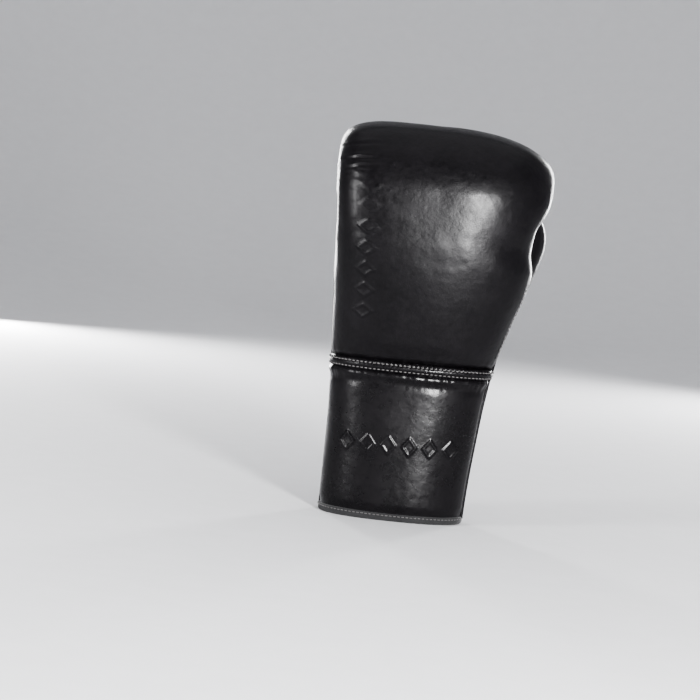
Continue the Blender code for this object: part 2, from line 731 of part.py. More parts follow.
def set_origins():
    """Puts each moving piece's origin on its joint's axis, and the middle of the hem's lower face at the world's."""
    hinges = {
        WRIST_HINGE: ("hand_", "palm_", "keyhole_tape", "grip_bar", "little_wrist", "thumbside_wrist",
                      "little_upper", "thumbside_upper", "little_hand", "thumbside_hand"),
        FINGER_HINGE: ("fist_", "finger_"),
        THUMB_HINGE: ("thumb_",),
    }
    for thing in bpy.data.objects:
        origin = Vector()
        for hinge, starts in hinges.items():
            if thing.name.startswith(starts) and not thing.hide_render:
                origin = Vector(hinge) * MM
        thing.data.transform(Matrix.Translation(-origin))
        shift = Matrix.Translation(origin - Vector((MIDDLE_X, MIDDLE_Y, 0.0)) * MM)
        thing.matrix_world = shift @ thing.matrix_world


def main():
    clear_scene()
    thumb_clear = thumb_cutter("thumb_cutter", 0.8)
    openings = [thumb_cutter(f"thumb_cutter_{i}", 1.0, CURL_OPENS * i / 3) for i in range(4)]
    build_cuff()
    build_flap("little", -1)
    build_flap("thumbside", 1)
    build_hand(thumb_clear)
    build_wrist_pads(thumb_clear)
    build_lace()
    build_grip()
    build_fingers(openings)
    build_thumb()
    set_origins()


main()
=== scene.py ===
"""Black leather lace-up boxing glove for the left hand, seen from its back.

Sizes are millimetres in the glove's own frame, the one the CAD part is drawn in: Z up from the hem,
-Y the back of the hand, +X the thumb's side.  The frame's place comes from the record's wrist joint.
The outer form is a loft of sections.  Pieces are laid on it by station t, angle a and height h above it.
"""

import json
import math

import bmesh
import bpy
import numpy as np
from mathutils import Matrix, Vector, noise

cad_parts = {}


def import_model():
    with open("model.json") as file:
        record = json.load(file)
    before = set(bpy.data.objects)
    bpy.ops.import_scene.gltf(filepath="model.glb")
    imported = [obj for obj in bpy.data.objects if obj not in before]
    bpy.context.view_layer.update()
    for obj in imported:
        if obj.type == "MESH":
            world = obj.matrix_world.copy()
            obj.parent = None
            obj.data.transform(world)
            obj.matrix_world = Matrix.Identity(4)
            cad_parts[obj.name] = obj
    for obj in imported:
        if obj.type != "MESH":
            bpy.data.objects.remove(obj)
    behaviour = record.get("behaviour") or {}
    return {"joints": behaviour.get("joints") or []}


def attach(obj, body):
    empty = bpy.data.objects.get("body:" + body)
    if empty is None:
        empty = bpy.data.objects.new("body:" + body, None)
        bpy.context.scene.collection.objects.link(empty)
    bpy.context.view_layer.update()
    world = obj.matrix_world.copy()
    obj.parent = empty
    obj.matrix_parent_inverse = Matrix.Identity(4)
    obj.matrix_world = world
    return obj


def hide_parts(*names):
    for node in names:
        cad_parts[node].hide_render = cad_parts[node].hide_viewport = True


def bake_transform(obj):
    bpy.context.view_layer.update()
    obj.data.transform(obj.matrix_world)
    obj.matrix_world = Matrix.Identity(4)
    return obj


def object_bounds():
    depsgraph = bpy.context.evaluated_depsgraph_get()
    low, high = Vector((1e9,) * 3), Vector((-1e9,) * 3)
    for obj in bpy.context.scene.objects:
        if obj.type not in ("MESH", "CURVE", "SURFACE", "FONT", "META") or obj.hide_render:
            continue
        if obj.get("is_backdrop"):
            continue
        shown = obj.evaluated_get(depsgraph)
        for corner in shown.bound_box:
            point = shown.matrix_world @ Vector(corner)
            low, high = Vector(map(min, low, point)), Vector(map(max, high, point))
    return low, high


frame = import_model()
cad_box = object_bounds()

MM = 0.001
JOINTS = {joint["name"]: joint for joint in frame["joints"]}
WRIST_IN_GLOVE = np.array([4, 0, 116])
ORIGIN = np.array(JOINTS["wrist_flex"]["pos_m"]) / MM - WRIST_IN_GLOVE

# The crease under the curled fingers, which the finger sections fan round
CREASE_Y, CREASE_Z, CREASE_R = 14, 226, 2
FINGERS_T = 10

# Palm opening and what lies round it
SLIT_X_AT_HEM, SLIT_LEAN, SLIT_HALF = 7, 0.081, 2.6
KEYHOLE_HALF, ARCH_Z, NECK_Z = 10.5, 175, 142
TAPE_WIDTH, STRIP_WIDTH, HOLE_FROM_EDGE = 4.4, 17, 10
LACE_PITCH = 24
LACE_ROWS = tuple(10 + LACE_PITCH * row for row in range(7))
PAD_TOP_Z = 177
HEM_TAPE = 6
LITTLE_SEAM, THUMB_SEAM = 170, -8
HEM_TOP = 4.4
THUMB_INNER_X = 42
LEATHER_THICK, PAD_THICK, BAND_THICK = 1.6, 2.2, 1
CLOTH_THICK, BACKING_THICK = 0.7, 0.8
LINING_COLUMNS = 90
# Sides of the opening: direction along X, name of the pieces, name of the CAD nodes
SIDES = ((-1, "little", "little"), (1, "thumb", "thumbside"))

# Raised lozenges: distance from one to the next, half-length, half-width, height
PITCH, LONG_HALF, WIDE_HALF, RAISED = 15.5, 6.3, 8, 0.55
MITT_ROW_X, MITT_ROW_Z, MITT_ROW_COUNT = -37, 148, 7
CUFF_ROW_X, CUFF_ROW_Z, CUFF_ROW_COUNT = -46.5, 57, 6

# The soft zone that bends at the wrist
BEND_FROM_Z, BEND_TO_Z = 76, 114

# Sections: back y, z, palm y, z, little-finger x, thumb x, squareness of those two ends
LOWER_ROWS = (
    (-33, 0, 32, 0, -55, 54, 2.3, 2.3),
    (-34, 30, 33, 30, -55, 55.5, 2.3, 2.3),
    (-34.5, 60, 33, 60, -55, 58, 2.3, 2.3),
    (-35, 90, 33, 90, -55.5, 61, 2.3, 2.3),
    (-36, 116, 33.5, 116, -57, 65, 2.4, 2.3),
    (-43, 135, 34, 135, -58, 70, 2.5, 2.3),
    (-49, 155, 34.5, 155, -59.5, 76, 2.6, 2.3),
    (-54, 177, 34, 177, -61, 83, 2.8, 2.3),
    (-57, 195, 31.5, 193, -62, 86, 3, 2.3),
    (-58.5, 211, 26, 208, -63, 83, 3.2, 2.3),
)
# Finger sections: angle above +Y, outer radius from the crease, then as above
FAN_ROWS = (
    (180, 72.5, -64, 85, 3.4, 2.3),
    (165, 74, -65, 90, 3.8, 2.3),
    (150, 76, -66, 94, 4, 2.3),
    (135, 77.5, -67, 95.5, 4.2, 2.3),
    (120, 77.5, -67, 96, 4.3, 2.3),
    (105, 74, -67, 96, 4.3, 2.3),
    (90, 72, -67, 95.5, 4.2, 2.3),
    (75, 72, -66.5, 93.5, 4, 2.4),
    (60, 71, -65.5, 90.5, 3.8, 2.4),
    (45, 67.5, -64, 87, 3.6, 2.5),
    (30, 61, -62, 84, 3.4, 2.5),
    (15, 54.5, -58, 80, 3.2, 2.6),
    (0, 49, -52, 75, 3, 2.6),
    (-16, 44, -43, 68, 2.8, 2.6),
    (-32, 36.5, -33, 59, 2.6, 2.6),
    (-46, 28.5, -24, 50, 2.5, 2.5),
    (-60, 20, -16, 42, 2.4, 2.4),
    (-76, 12, -8, 34, 2.3, 2.3),
)
# Thumb sections: middle x, y, z, half-width along X, along Y
THUMB_ROWS = (
    (45, 10, 118, 6, 7),
    (50, 13.5, 132, 12, 12.5),
    (56, 19.5, 146, 17.2, 17.4),
    (59.5, 23.5, 160, 19.8, 20.8),
    (64.5, 27, 177, 21.2, 22.2),
    (70.5, 29.5, 194, 21.7, 22.7),
    (75, 31, 210, 21.7, 22.2),
    (77, 31.5, 223, 20.2, 20.2),
    (76.6, 31, 234, 16.6, 16.6),
    (75.8, 30.5, 242, 11, 11),
    (75.4, 30.2, 246, 5.5, 5.5),
    (75, 30, 247, 0.3, 0.3),
)


# ---- the loft

def fan_row(angle, radius, *rest):
    c, s = math.cos(math.radians(angle)), math.sin(math.radians(angle))
    outer = (CREASE_Y + radius * c, CREASE_Z + radius * s)
    inner = (CREASE_Y + CREASE_R * c, CREASE_Z + CREASE_R * s)
    return (*outer, *inner, *rest)


ROWS = np.array([*LOWER_ROWS, *(fan_row(*row) for row in FAN_ROWS)])
END_T = float(len(ROWS) - 1)


def slopes(rows):
    """Slopes at each row that never make the curve overshoot."""
    steps = np.diff(rows, axis=0)
    a, b = steps[:-1], steps[1:]
    same = a * b > 0
    inner = np.where(same, 2 * a * b / np.where(same, a + b, 1), 0)
    return np.vstack([steps[:1], inner, steps[-1:]])


def smooth_rows(rows, t):
    t = np.clip(t, 0, len(rows) - 1)
    i = np.minimum(t.astype(int), len(rows) - 2)
    u = (t - i)[..., None]
    m = slopes(rows)
    return (
        (2 * u**3 - 3 * u**2 + 1) * rows[i]
        + (u**3 - 2 * u**2 + u) * m[i]
        + (3 * u**2 - 2 * u**3) * rows[i + 1]
        + (u**3 - u**2) * m[i + 1]
    )


def form(t, a):
    """Points of the loft at stations t and angles a (degrees); both are arrays of one shape."""
    row = smooth_rows(ROWS, t)
    back, palm = row[..., 0:2], row[..., 2:4]
    c, s = np.cos(np.radians(a)), np.sin(np.radians(a))
    blend_side = np.clip(c * 4 + 0.5, 0, 1)
    n = row[..., 6] + (row[..., 7] - row[..., 6]) * blend_side
    reach = (np.abs(c) ** n + np.abs(s) ** n + 1e-12) ** (-1 / n)
    side = (back + palm) / 2 + (palm - back) / 2 * (reach * s)[..., None]
    x = (row[..., 4] + row[..., 5]) / 2 + (row[..., 5] - row[..., 4]) / 2 * reach * c
    return stack(x, side[..., 0], side[..., 1])


def stack(*parts):
    """The parts side by side along a new last axis, such as x, y and z into points."""
    return np.stack(np.broadcast_arrays(*parts), axis=-1)


def full_turn(count):
    """Angles in radians, evenly spaced round a circle."""
    return np.linspace(0, 2 * math.pi, count, endpoint=False)


def reach_of(c, s, n):
    """How far an oval of squareness n and half-width 1 reaches in the direction c, s."""
    return (np.abs(c) ** n + np.abs(s) ** n) ** (-1 / n)


def unit(v):
    return v / np.maximum(np.linalg.norm(v, axis=-1, keepdims=True), 1e-9)


def raised(t, a, h):
    """Points h millimetres out from the loft."""
    t, a = np.broadcast_arrays(t, a)
    along = form(t + 0.04, a) - form(t - 0.04, a)
    around = form(t, a + 1) - form(t, a - 1)
    out = unit(np.cross(around, along))
    return form(t, a) + out * np.broadcast_to(h, t.shape)[..., None]


# Stations, and the heights of the back and of the palm side there
LEVEL_T, PALM_T = np.linspace(0, 7.5, 400), np.linspace(0, 10, 400)
LEVEL_Z, PALM_Z = smooth_rows(ROWS, LEVEL_T)[:, 1], smooth_rows(ROWS, PALM_T)[:, 3]


def station(z):
    """The station whose section is at height z, up to a little above the padded strips."""
    return np.interp(z, LEVEL_Z, LEVEL_T)


def palm_station(z):
    """The station whose palm side is at height z, also above the strips."""
    return np.interp(z, PALM_Z, PALM_T)


def angle_of(t, x):
    """The palm-side angle whose point has this x."""
    low, high = np.full(np.broadcast(t, x).shape, 2.0), 178
    for _ in range(26):
        middle = (low + high) / 2
        beyond = form(t, middle)[..., 0] > x
        low, high = np.where(beyond, middle, low), np.where(beyond, high, middle)
    return (low + high) / 2


def on_palm(x, z, h):
    """Points on the palm side below the palm, given by x and height."""
    t = station(z)
    return raised(t, angle_of(t, x), h)


def smooth(low, high, v):
    u = np.clip((v - low) / (high - low), 0, 1)
    return u * u * (3 - 2 * u)


def bell(v, middle, width):
    return np.exp(-(((v - middle) / width) ** 2))


def cloud(points, size, seed=0):
    """Soft noise from -1 to 1 with features of about this size, at each point."""
    flat = points.reshape(-1, 3) / size + seed
    values = [noise.noise(Vector(p)) for p in flat]
    return np.array(values).reshape(points.shape[:-1])


def slit_x(z):
    return SLIT_X_AT_HEM + SLIT_LEAN * z


def opening_half(z):
    return SLIT_HALF + (KEYHOLE_HALF - SLIT_HALF) * smooth(NECK_Z, ARCH_Z, z)


# ---- meshes

def world(points):
    return (np.asarray(points, float).reshape(-1, 3) + ORIGIN) * MM


def add_object(name, data):
    made = bpy.data.objects.new(name, data)
    bpy.context.scene.collection.objects.link(made)
    return made


def mesh_object(name, points, faces, stuff, slot, uvs=None):
    """A mesh piece; uvs has one pair for each point."""
    mesh = bpy.data.meshes.new(name)
    mesh.from_pydata(world(points).tolist(), [], faces)
    if uvs is not None:
        uv_layer = mesh.uv_layers.new(name="UVMap")
        index = np.empty(len(mesh.loops), int)
        mesh.loops.foreach_get("vertex_index", index)
        uv_layer.data.foreach_set("uv", np.asarray(uvs, np.float32).reshape(-1, 2)[index].ravel())
    face_outwards(mesh)
    mesh.materials.append(stuff)
    mesh.shade_smooth()
    made = add_object(name, mesh)
    return made


def face_outwards(mesh):
    work = bmesh.new()
    work.from_mesh(mesh)
    bmesh.ops.recalc_face_normals(work, faces=work.faces)
    work.to_mesh(mesh)
    work.free()


def grid_faces(rows, columns, start=0, ring=False, flip=False):
    faces = []
    for j in range(rows - 1):
        for i in range(columns if ring else columns - 1):
            k, m = start + j * columns + i, start + j * columns + (i + 1) % columns
            face = (k, m, m + columns, k + columns)
            faces.append(face[::-1] if flip else face)
    return faces


def from_ends(lengths, over):
    """From 0 at a path's two ends to 1 where it is this far from both."""
    return np.clip(np.minimum(lengths, lengths[-1] - lengths) / over, 0, 1)


def caps(rows, sides, start=0):
    """The faces that close the two ends of a ring-shaped grid."""
    last = start + (rows - 1) * sides
    return [tuple(range(start, start + sides)), tuple(range(last, last + sides))]


def shell(name, outer, inner, stuff, slot, ring=False):
    """A closed skin between two grids of points, outer and inner, joined round their edges."""
    rows, columns = outer.shape[:2]
    count = rows * columns
    points = np.concatenate([outer.reshape(-1, 3), inner.reshape(-1, 3)])
    faces = grid_faces(rows, columns, 0, ring, True) + grid_faces(rows, columns, count, ring)
    if ring:
        around = list(range(columns))
        rims = [around, [(rows - 1) * columns + i for i in around]]
    else:
        down = [j * columns for j in range(rows)] + [(rows - 1) * columns + i for i in range(1, columns)]
        back_up = [j * columns + columns - 1 for j in range(rows - 2, -1, -1)]
        rims = [down + back_up + list(range(columns - 2, 0, -1))]
    for rim in rims:
        faces += [(k, m, count + m, count + k) for k, m in zip(rim, rim[1:] + rim[:1])]
    return mesh_object(name, points, faces, stuff, slot)


def lengths_along(path):
    """The path's length up to each of its points."""
    steps = np.linalg.norm(np.diff(path, axis=0), axis=1)
    return np.concatenate([[0], np.cumsum(steps)])


def ribbon(name, path, out, section, stuff, slot):
    """A cord or tape along a path.  out points away from the glove, section has (across, out) pairs."""
    tangent, lengths = unit(np.gradient(path, axis=0)), lengths_along(path)
    out = np.broadcast_to(out, path.shape)
    out = unit(out - (out * tangent).sum(-1, keepdims=True) * tangent)
    across = np.cross(tangent, out)
    if section.ndim == 2:
        section = np.broadcast_to(section, (len(path), *section.shape))
    points = path[:, None] + across[:, None] * section[..., :1] + out[:, None] * section[..., 1:]
    sides = section.shape[1]
    around = np.linspace(0, 1, sides, endpoint=False)
    uvs = stack(lengths[:, None] * MM, around[None, :])
    faces = grid_faces(len(path), sides, 0, True) + caps(len(path), sides)
    return mesh_object(name, points, faces, stuff, slot, uvs=uvs)


def oval(half_wide, half_high, sides=12, power=2):
    turn = full_turn(sides)
    c, s = np.cos(turn), np.sin(turn)
    reach = reach_of(c, s, power)
    return stack(c * reach * half_wide, s * reach * half_high)


def resample(path, spacing):
    """The path again, as points this far apart."""
    lengths = lengths_along(path)
    count = max(2, int(round(lengths[-1] / spacing)) + 1)
    wanted = np.linspace(0, lengths[-1], count)
    return np.stack([np.interp(wanted, lengths, path[:, k]) for k in range(3)], axis=-1)


def stitches(name, rows_of_points, length=2.4, gap=0.9, thick=0.5, lift=0.35):
    """Short threads along paths.  Each path is (points, out directions)."""
    points, faces = [], []
    sides = 6
    profile = ((-0.5, 0.4), (-0.4, 0.85), (0, 1), (0.4, 0.85), (0.5, 0.4))
    turns = full_turn(sides)
    for path, out in rows_of_points:
        lengths = lengths_along(path)

        def on_path(values, where):
            return np.array([np.interp(where, lengths, values[:, k]) for k in range(3)])

        for middle in np.arange(length, lengths[-1] - length / 2, length + gap):
            at, up = on_path(path, middle), unit(on_path(out, middle))
            along = unit(on_path(path, middle + 0.5) - on_path(path, middle - 0.5))
            across = np.cross(along, up)
            base = len(points)
            for where, size in profile:
                centre = at + along * where * length + up * (lift - thick * abs(where * 2) ** 3)
                points += [centre + (across * math.cos(a) + up * math.sin(a)) * thick * size for a in turns]
            faces += grid_faces(len(profile), sides, base, True) + caps(len(profile), sides, base)
    return mesh_object(name, points, faces, THREAD, "binding_tape")


def along_form(t, a, h):
    """A path on the loft, and the direction out of it at each point."""
    return raised(t, a, h), unit(raised(t, a, 1) - raised(t, a, 0))


def spread(down, low, high, count):
    """Two grids of the same shape: down along the rows, and low to high across each row."""
    share = np.linspace(0, 1, count)
    rows = np.broadcast_to(down[:, None], (len(down), count))
    low, high = (np.broadcast_to(edge, down.shape)[:, None] for edge in (low, high))
    return rows, low + (high - low) * share


def layer(name, t, a, h, thick, stuff, slot, grow=None):
    """A closed skin on the loft, its outer face at height h; grow has nest()'s value for each face."""
    skins = [raised(t, a, h), raised(t, a, h - thick)]
    if grow:
        skins = [nest(skin, more) for skin, more in zip(skins, grow)]
    return shell(name, *skins, stuff, slot)


def palm_line(x, z, low, high):
    """A path at height low over the palm side, and the direction from it to height high."""
    path = on_palm_high(x, z, low)
    return path, unit(on_palm_high(x, z, high) - path)


def heights_of(piece):
    return np.array([vertex.co.z for vertex in piece.data.vertices]) / MM


# ---- materials

class Nodes:
    """A small helper for building a material's node tree."""

    def __init__(self, name):
        self.material = bpy.data.materials.new(name)
        self.material.use_nodes = True
        self.tree = self.material.node_tree
        self.shader = self.tree.nodes["Principled BSDF"]
        self.place = self.add("ShaderNodeTexCoord").outputs["Object"]

    def join(self, value, socket):
        """Links the socket to another one, or gives it a plain value."""
        if isinstance(value, bpy.types.NodeSocket):
            self.tree.links.new(value, socket)
        else:
            socket.default_value = value

    def add(self, kind, inputs=None, **settings):
        node = self.tree.nodes.new(kind)
        for key, value in settings.items():
            setattr(node, key, value)
        for key, value in (inputs or {}).items():
            self.join(value, node.inputs[key])
        return node

    def noise(self, scale, detail):
        inputs = {"Vector": self.place, "Scale": scale, "Detail": detail, "Roughness": 0.55}
        return self.add("ShaderNodeTexNoise", inputs).outputs["Fac"]

    def remap(self, value, low, high, to_low=0, to_high=1):
        inputs = {"Value": value, "From Min": low, "From Max": high, "To Min": to_low, "To Max": to_high}
        return self.add("ShaderNodeMapRange", inputs).outputs["Result"]

    def math(self, operation, first, second=0):
        return self.add("ShaderNodeMath", {0: first, 1: second}, operation=operation).outputs[0]

    def mix(self, factor, first, second):
        return self.add("ShaderNodeMix", {0: factor, 6: first, 7: second}, data_type="RGBA").outputs[2]

    def bump(self, height, strength, distance, normal=None):
        inputs = {"Height": height, "Strength": strength, "Distance": distance}
        if normal is not None:
            inputs["Normal"] = normal
        return self.add("ShaderNodeBump", inputs).outputs["Normal"]

    def set(self, **sockets):
        for key, value in sockets.items():
            self.join(value, self.shader.inputs[key.replace("_", " ")])
        return self.material


def leather_material(name, dark, light, shine):
    """Smooth finished leather: fine pebble grain, soft waves, cloudy colour and shine, worn edges."""
    m = Nodes(name)
    clouds = m.noise(24, 5)
    fine = m.noise(300, 5)
    mottled = m.math("ADD", m.math("MULTIPLY", clouds, 0.55), m.math("MULTIPLY", fine, 0.45))
    colour = m.mix(m.remap(mottled, 0.32, 0.70), dark, light)
    edge = m.add("ShaderNodeNewGeometry").outputs["Pointiness"]
    worn = m.math("MULTIPLY", m.remap(edge, 0.53, 0.62, 0, 0.4), m.remap(fine, 0.4, 0.6, 0.2, 1))
    colour = m.mix(worn, colour, (0.03, 0.027, 0.028, 1))
    rough = m.remap(mottled, 0.30, 0.70, shine - 0.08, shine + 0.10)
    pebbles = m.add("ShaderNodeTexVoronoi", {"Vector": m.place, "Scale": 1250}).outputs["Distance"]
    normal = m.bump(pebbles, 0.06, 0.0002)
    normal = m.bump(m.noise(420, 2), 0.17, 0.0005, normal)
    normal = m.bump(m.noise(85, 2), 0.24, 0.0011, normal)
    return m.set(Base_Color=colour, Roughness=rough, Normal=normal, Specular_IOR_Level=0.28,
                 Coat_Weight=0.05, Coat_Roughness=0.14)


def woven_material(name, dark, light, pitch, rough=0.85, sheen=0.15):
    """Plain woven cloth or tape, threads this far apart in metres, laid along the piece's height."""
    m = Nodes(name)
    split = m.add("ShaderNodeSeparateXYZ", {"Vector": m.place})
    turn = m.math("ADD", split.outputs["X"], split.outputs["Y"])
    warp = m.math("SINE", m.math("MULTIPLY", turn, 2 * math.pi / pitch))
    weft = m.math("SINE", m.math("MULTIPLY", split.outputs["Z"], 2 * math.pi / pitch))
    weave = m.math("MULTIPLY", warp, weft)
    patches = m.noise(60, 3)
    fuzz = m.noise(900, 2)
    # The colour is lighter on the raised threads and darker between them: painted shade. The patches are
    # random tone.
    tone = m.math("ADD", m.remap(weave, -1, 1, 0, 0.45), m.math("MULTIPLY", patches, 0.55))
    colour = m.mix(m.remap(tone, 0.2, 0.8), dark, light)
    normal = m.bump(weave, 0.35, 0.00025)
    normal = m.bump(fuzz, 0.18, 0.0003, normal)
    return m.set(Base_Color=colour, Roughness=rough, Normal=normal, Sheen_Weight=sheen,
                 Sheen_Roughness=0.5, Specular_IOR_Level=0.3)


def braid_material(name, dark, light):
    """Braided cord: two sets of strands that cross, by the piece's own length and turn coordinates."""
    m = Nodes(name)
    uv = m.add("ShaderNodeTexCoord").outputs["UV"]
    split = m.add("ShaderNodeSeparateXYZ", {"Vector": uv})
    length = m.math("MULTIPLY", split.outputs["X"], 2 * math.pi / 0.0042)
    turn = m.math("MULTIPLY", split.outputs["Y"], 2 * math.pi * 4)
    one = m.math("SINE", m.math("ADD", length, turn))
    two = m.math("SINE", m.math("SUBTRACT", length, turn))
    strands = m.math("MAXIMUM", one, two)
    fuzz = m.noise(1400, 2)
    # The colour is lighter on the strands' crests and darker in the grooves between them: painted shade.
    # The fuzz is random tone.
    tone = m.math("ADD", m.remap(strands, -0.4, 1, 0, 0.7), m.math("MULTIPLY", fuzz, 0.3))
    colour = m.mix(tone, dark, light)
    normal = m.bump(strands, 0.75, 0.0006)
    normal = m.bump(fuzz, 0.3, 0.0003, normal)
    return m.set(Base_Color=colour, Roughness=0.8, Normal=normal, Sheen_Weight=0.12, Specular_IOR_Level=0.3)


def plain_material(name, colour, rough, bump_scale):
    m = Nodes(name)
    spots = m.noise(bump_scale, 3)
    shade = m.mix(m.remap(spots, 0.3, 0.7), colour, tuple(c * 1.6 for c in colour[:3]) + (1,))
    return m.set(Base_Color=shade, Roughness=m.remap(spots, 0.3, 0.7, rough - 0.05, rough + 0.05),
                 Normal=m.bump(spots, 0.2, 0.0003))


LEATHER = leather_material("black_leather", (0.0035, 0.0031, 0.0039, 1), (0.0090, 0.0078, 0.0094, 1), 0.35)
SHINY_LEATHER = leather_material(
    "panel_leather", (0.0036, 0.0032, 0.0040, 1), (0.0092, 0.0080, 0.0094, 1), 0.28
)
TAPE = woven_material("binding_tape", (0.018, 0.018, 0.019, 1), (0.042, 0.042, 0.043, 1), 0.0009)
CLOTH = woven_material("lining_cloth", (0.010, 0.010, 0.012, 1), (0.026, 0.026, 0.030, 1), 0.0012, 0.7, 0.3)
LACE = braid_material("braided_lace", (0.008, 0.008, 0.008, 1), (0.034, 0.034, 0.035, 1))
# The thread is black; its grey colour is a painted highlight that makes the stitches show as lit beads.
THREAD = plain_material("stitch_thread", (0.075, 0.072, 0.072, 1), 0.36, 900)
TIP = plain_material("lace_tip", (0.012, 0.012, 0.012, 1), 0.3, 300)


# ---- baked placements, and weights along the moving zones

def wrist_blend(piece):
    """Bakes the piece's placement into its mesh; the ends of the soft zone below the wrist seam, between
    cuff and hand, are worked out but not used.
    """
    low = Vector(world([0, 0, BEND_FROM_Z])[0])
    high = Vector(world([0, 0, BEND_TO_Z])[0])
    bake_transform(piece)


def weigh(piece, weights):
    """Bakes the piece's placement into its mesh; the ends of the zone from 200 to 230 mm are worked out but
    not used. The weights, one for each point, are not used.
    """
    low, high = (Vector(world([0, 0, z])[0]) for z in (200, 230))
    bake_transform(piece)
    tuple(low)
    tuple(high)


def finger_weight(t):
    return smooth(8.4, 11.6, t)


def thumb_weight(z):
    return smooth(128, 160, z)


# ---- thumb clearance

def thumb_section(z):
    z_rows = np.array([row[2] for row in THUMB_ROWS])
    values = np.array(THUMB_ROWS)[:, [0, 1, 3, 4]]
    return [np.interp(z, z_rows, values[:, k]) for k in range(4)]


NEST_GROW = 0.6
NEST_LEATHER = (NEST_GROW, NEST_GROW)


def nest(points, grow=NEST_GROW):
    """Presses points in behind the thumb, so that the thumb lies in a hollow of the fist's side."""
    x, y, z = np.moveaxis(points, -1, 0)
    middle_x, middle_y, half_x, half_y = thumb_section(np.clip(z, 120, 247))
    q = np.abs(y - middle_y) / (half_y + grow - 0.5)
    inside = np.sqrt(np.clip(1 - q**2, 0, None))
    wall = middle_x - (half_x + grow) * inside + np.clip(q - 1, 0, None) * 85
    wall = wall + smooth(244, 254, z) * 45 + (1 - smooth(138, 202, z)) * 24
    soft = 1.5
    pressed = wall - soft * np.log1p(np.exp(np.clip((wall - x) / soft, -30, 30)))
    moved = points.copy()
    moved[..., 0] = np.where(x > wall - 12, np.minimum(x, pressed), x)
    return moved


# ---- the glove

def seam_edges(t):
    """Angles of the mitt leather's edges: the side seams, then inwards along the crease."""
    up = smooth(8.2, 9.95, t)
    thumb_side = THUMB_SEAM + (88 - THUMB_SEAM) * up
    wrap = smooth(4.15, 5.3, t) * (1 - up)
    inner = angle_of(np.clip(t, 4, 9.9), THUMB_INNER_X)
    thumb_side = thumb_side + (inner - THUMB_SEAM) * wrap * (1 - smooth(8.6, 9.8, t))
    little_side = LITTLE_SEAM - (LITTLE_SEAM - 92) * up
    return little_side, 360 + thumb_side


def lozenges(along, across):
    """A row of raised lozenges, from 0 to 1: along counts from the row's start, across from its middle."""
    step = along / PITCH
    from_middle = (step - np.floor(step) - 0.5) * PITCH
    size = np.abs(from_middle) / LONG_HALF + np.abs(across) / WIDE_HALF
    return smooth(1.04, 0.88, size) - 0.8 * smooth(0.68, 0.54, size)


def mitt_relief(points, t, a):
    """Height of the mitt leather over the loft: seams that draw in, folds and the raised pattern."""
    z = points[..., 2]
    h = 0.8 * cloud(points, 52) + 0.3 * cloud(points, 19, 7.3) + 0.07 * cloud(points, 5, 1.3)
    low = t < 7
    edges = seam_edges(t)
    from_seam = np.minimum(a - edges[0], edges[1] - a)
    middle = smooth(2, 14, from_seam)
    pinch = 1 - smooth(117.5, 125, z)
    h = h - (0.9 + 1.5 * middle) * pinch**1.5 * low
    gathers = cloud(points * (1, 1, 0.12), 4.2, 3.1) * (1 - smooth(119, 131, z))
    h = h + 0.5 * gathers * low * middle
    h = h - (1 - smooth(0, 4.5, from_seam)) * (t < 9.9)
    return h + palm_side_folds(points, t) + knuckle_wrinkles(points) + mitt_pattern(points, t)


def palm_side_folds(points, t):
    """Pleats that fan out from the crease on the little finger's side, and the fold that ends them."""
    x, y, z = np.moveaxis(points, -1, 0)
    far_x, far_z = -20 - x, z - 216
    turn = np.degrees(np.arctan2(far_z, far_x)) + 4.5 * cloud(points, 20, 5.5)
    reach = np.hypot(far_x, far_z)
    pleat = np.abs(np.sin(np.radians((turn - 20) * 15))) ** 0.75 - 0.7
    zone = smooth(14, 26, reach) * (1 - smooth(44, 66, reach))
    zone = zone * smooth(8, 22, turn) * smooth(-25, -32, x)
    h = 2.1 * pleat * zone * smooth(4, 24, y)
    beside = x + 23 + 0.2 * (z - 234) + 1.2 * np.sin(z * 0.11)
    length = smooth(221, 231, z) * (1 - smooth(248, 282, z)) * smooth(18, 40, y)
    h = h - (1.9 * bell(beside, -0.8, 1.5) + 1.5 * bell(beside, -4, 5)) * length
    under = smooth(22, 25, t)
    return (h + 0.3 * under * cloud(points * (1, 0.2, 0.2), 5, 2.4)) * (t > 12)


def knuckle_wrinkles(points):
    """Fine wrinkles where the leather is drawn round the corners of the knuckles."""
    x, y, z = np.moveaxis(points, -1, 0)
    corner = bell(x, -56, 16) * bell(z, 262, 26)
    corner = corner + 0.4 * bell(x, 88, 14) * bell(z, 250, 18)
    lines = cloud(stack(x * 0.12, y * 0.3, z + x * 0.12), 2.6, 9.1)
    h = 0.42 * corner * lines * (1 - smooth(-12, 12, y))
    for height, slope, deep in ((258, 0.30, 0.6), (265, 0.22, 1), (275, 0.26, 0.5)):
        bent = height + slope * (x + 62) - 0.004 * (x + 62) ** 2
        h = h - deep * (bell(z, bent, 0.9) - 0.5 * bell(z, bent + 2.2, 1.6)) * bell(x, -50, 14) * (y < 0)
    return h


def mitt_pattern(points, t):
    """The raised lozenges up the back of the mitt."""
    x, y, z = np.moveaxis(points, -1, 0)
    up = z - MITT_ROW_Z
    pattern = lozenges(up, x - MITT_ROW_X + 0.04 * up)
    return RAISED * pattern * (y < 0) * (up > 0) * (up < PITCH * MITT_ROW_COUNT) * (t < 17)


def build_mitt_side_stitches():
    """The stitch row on the mitt's side, where the thumb is sewn in."""
    t = np.linspace(station(127), station(190), 80)
    row_angle, tiny = 341, [0, -1e-3, 0]
    path = nest(raised(t, row_angle, 0.5))
    rows = [(path, unit(nest(raised(t, row_angle, 2)) - path + tiny))]
    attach(stitches("mitt_side_stitches", rows), "hand")


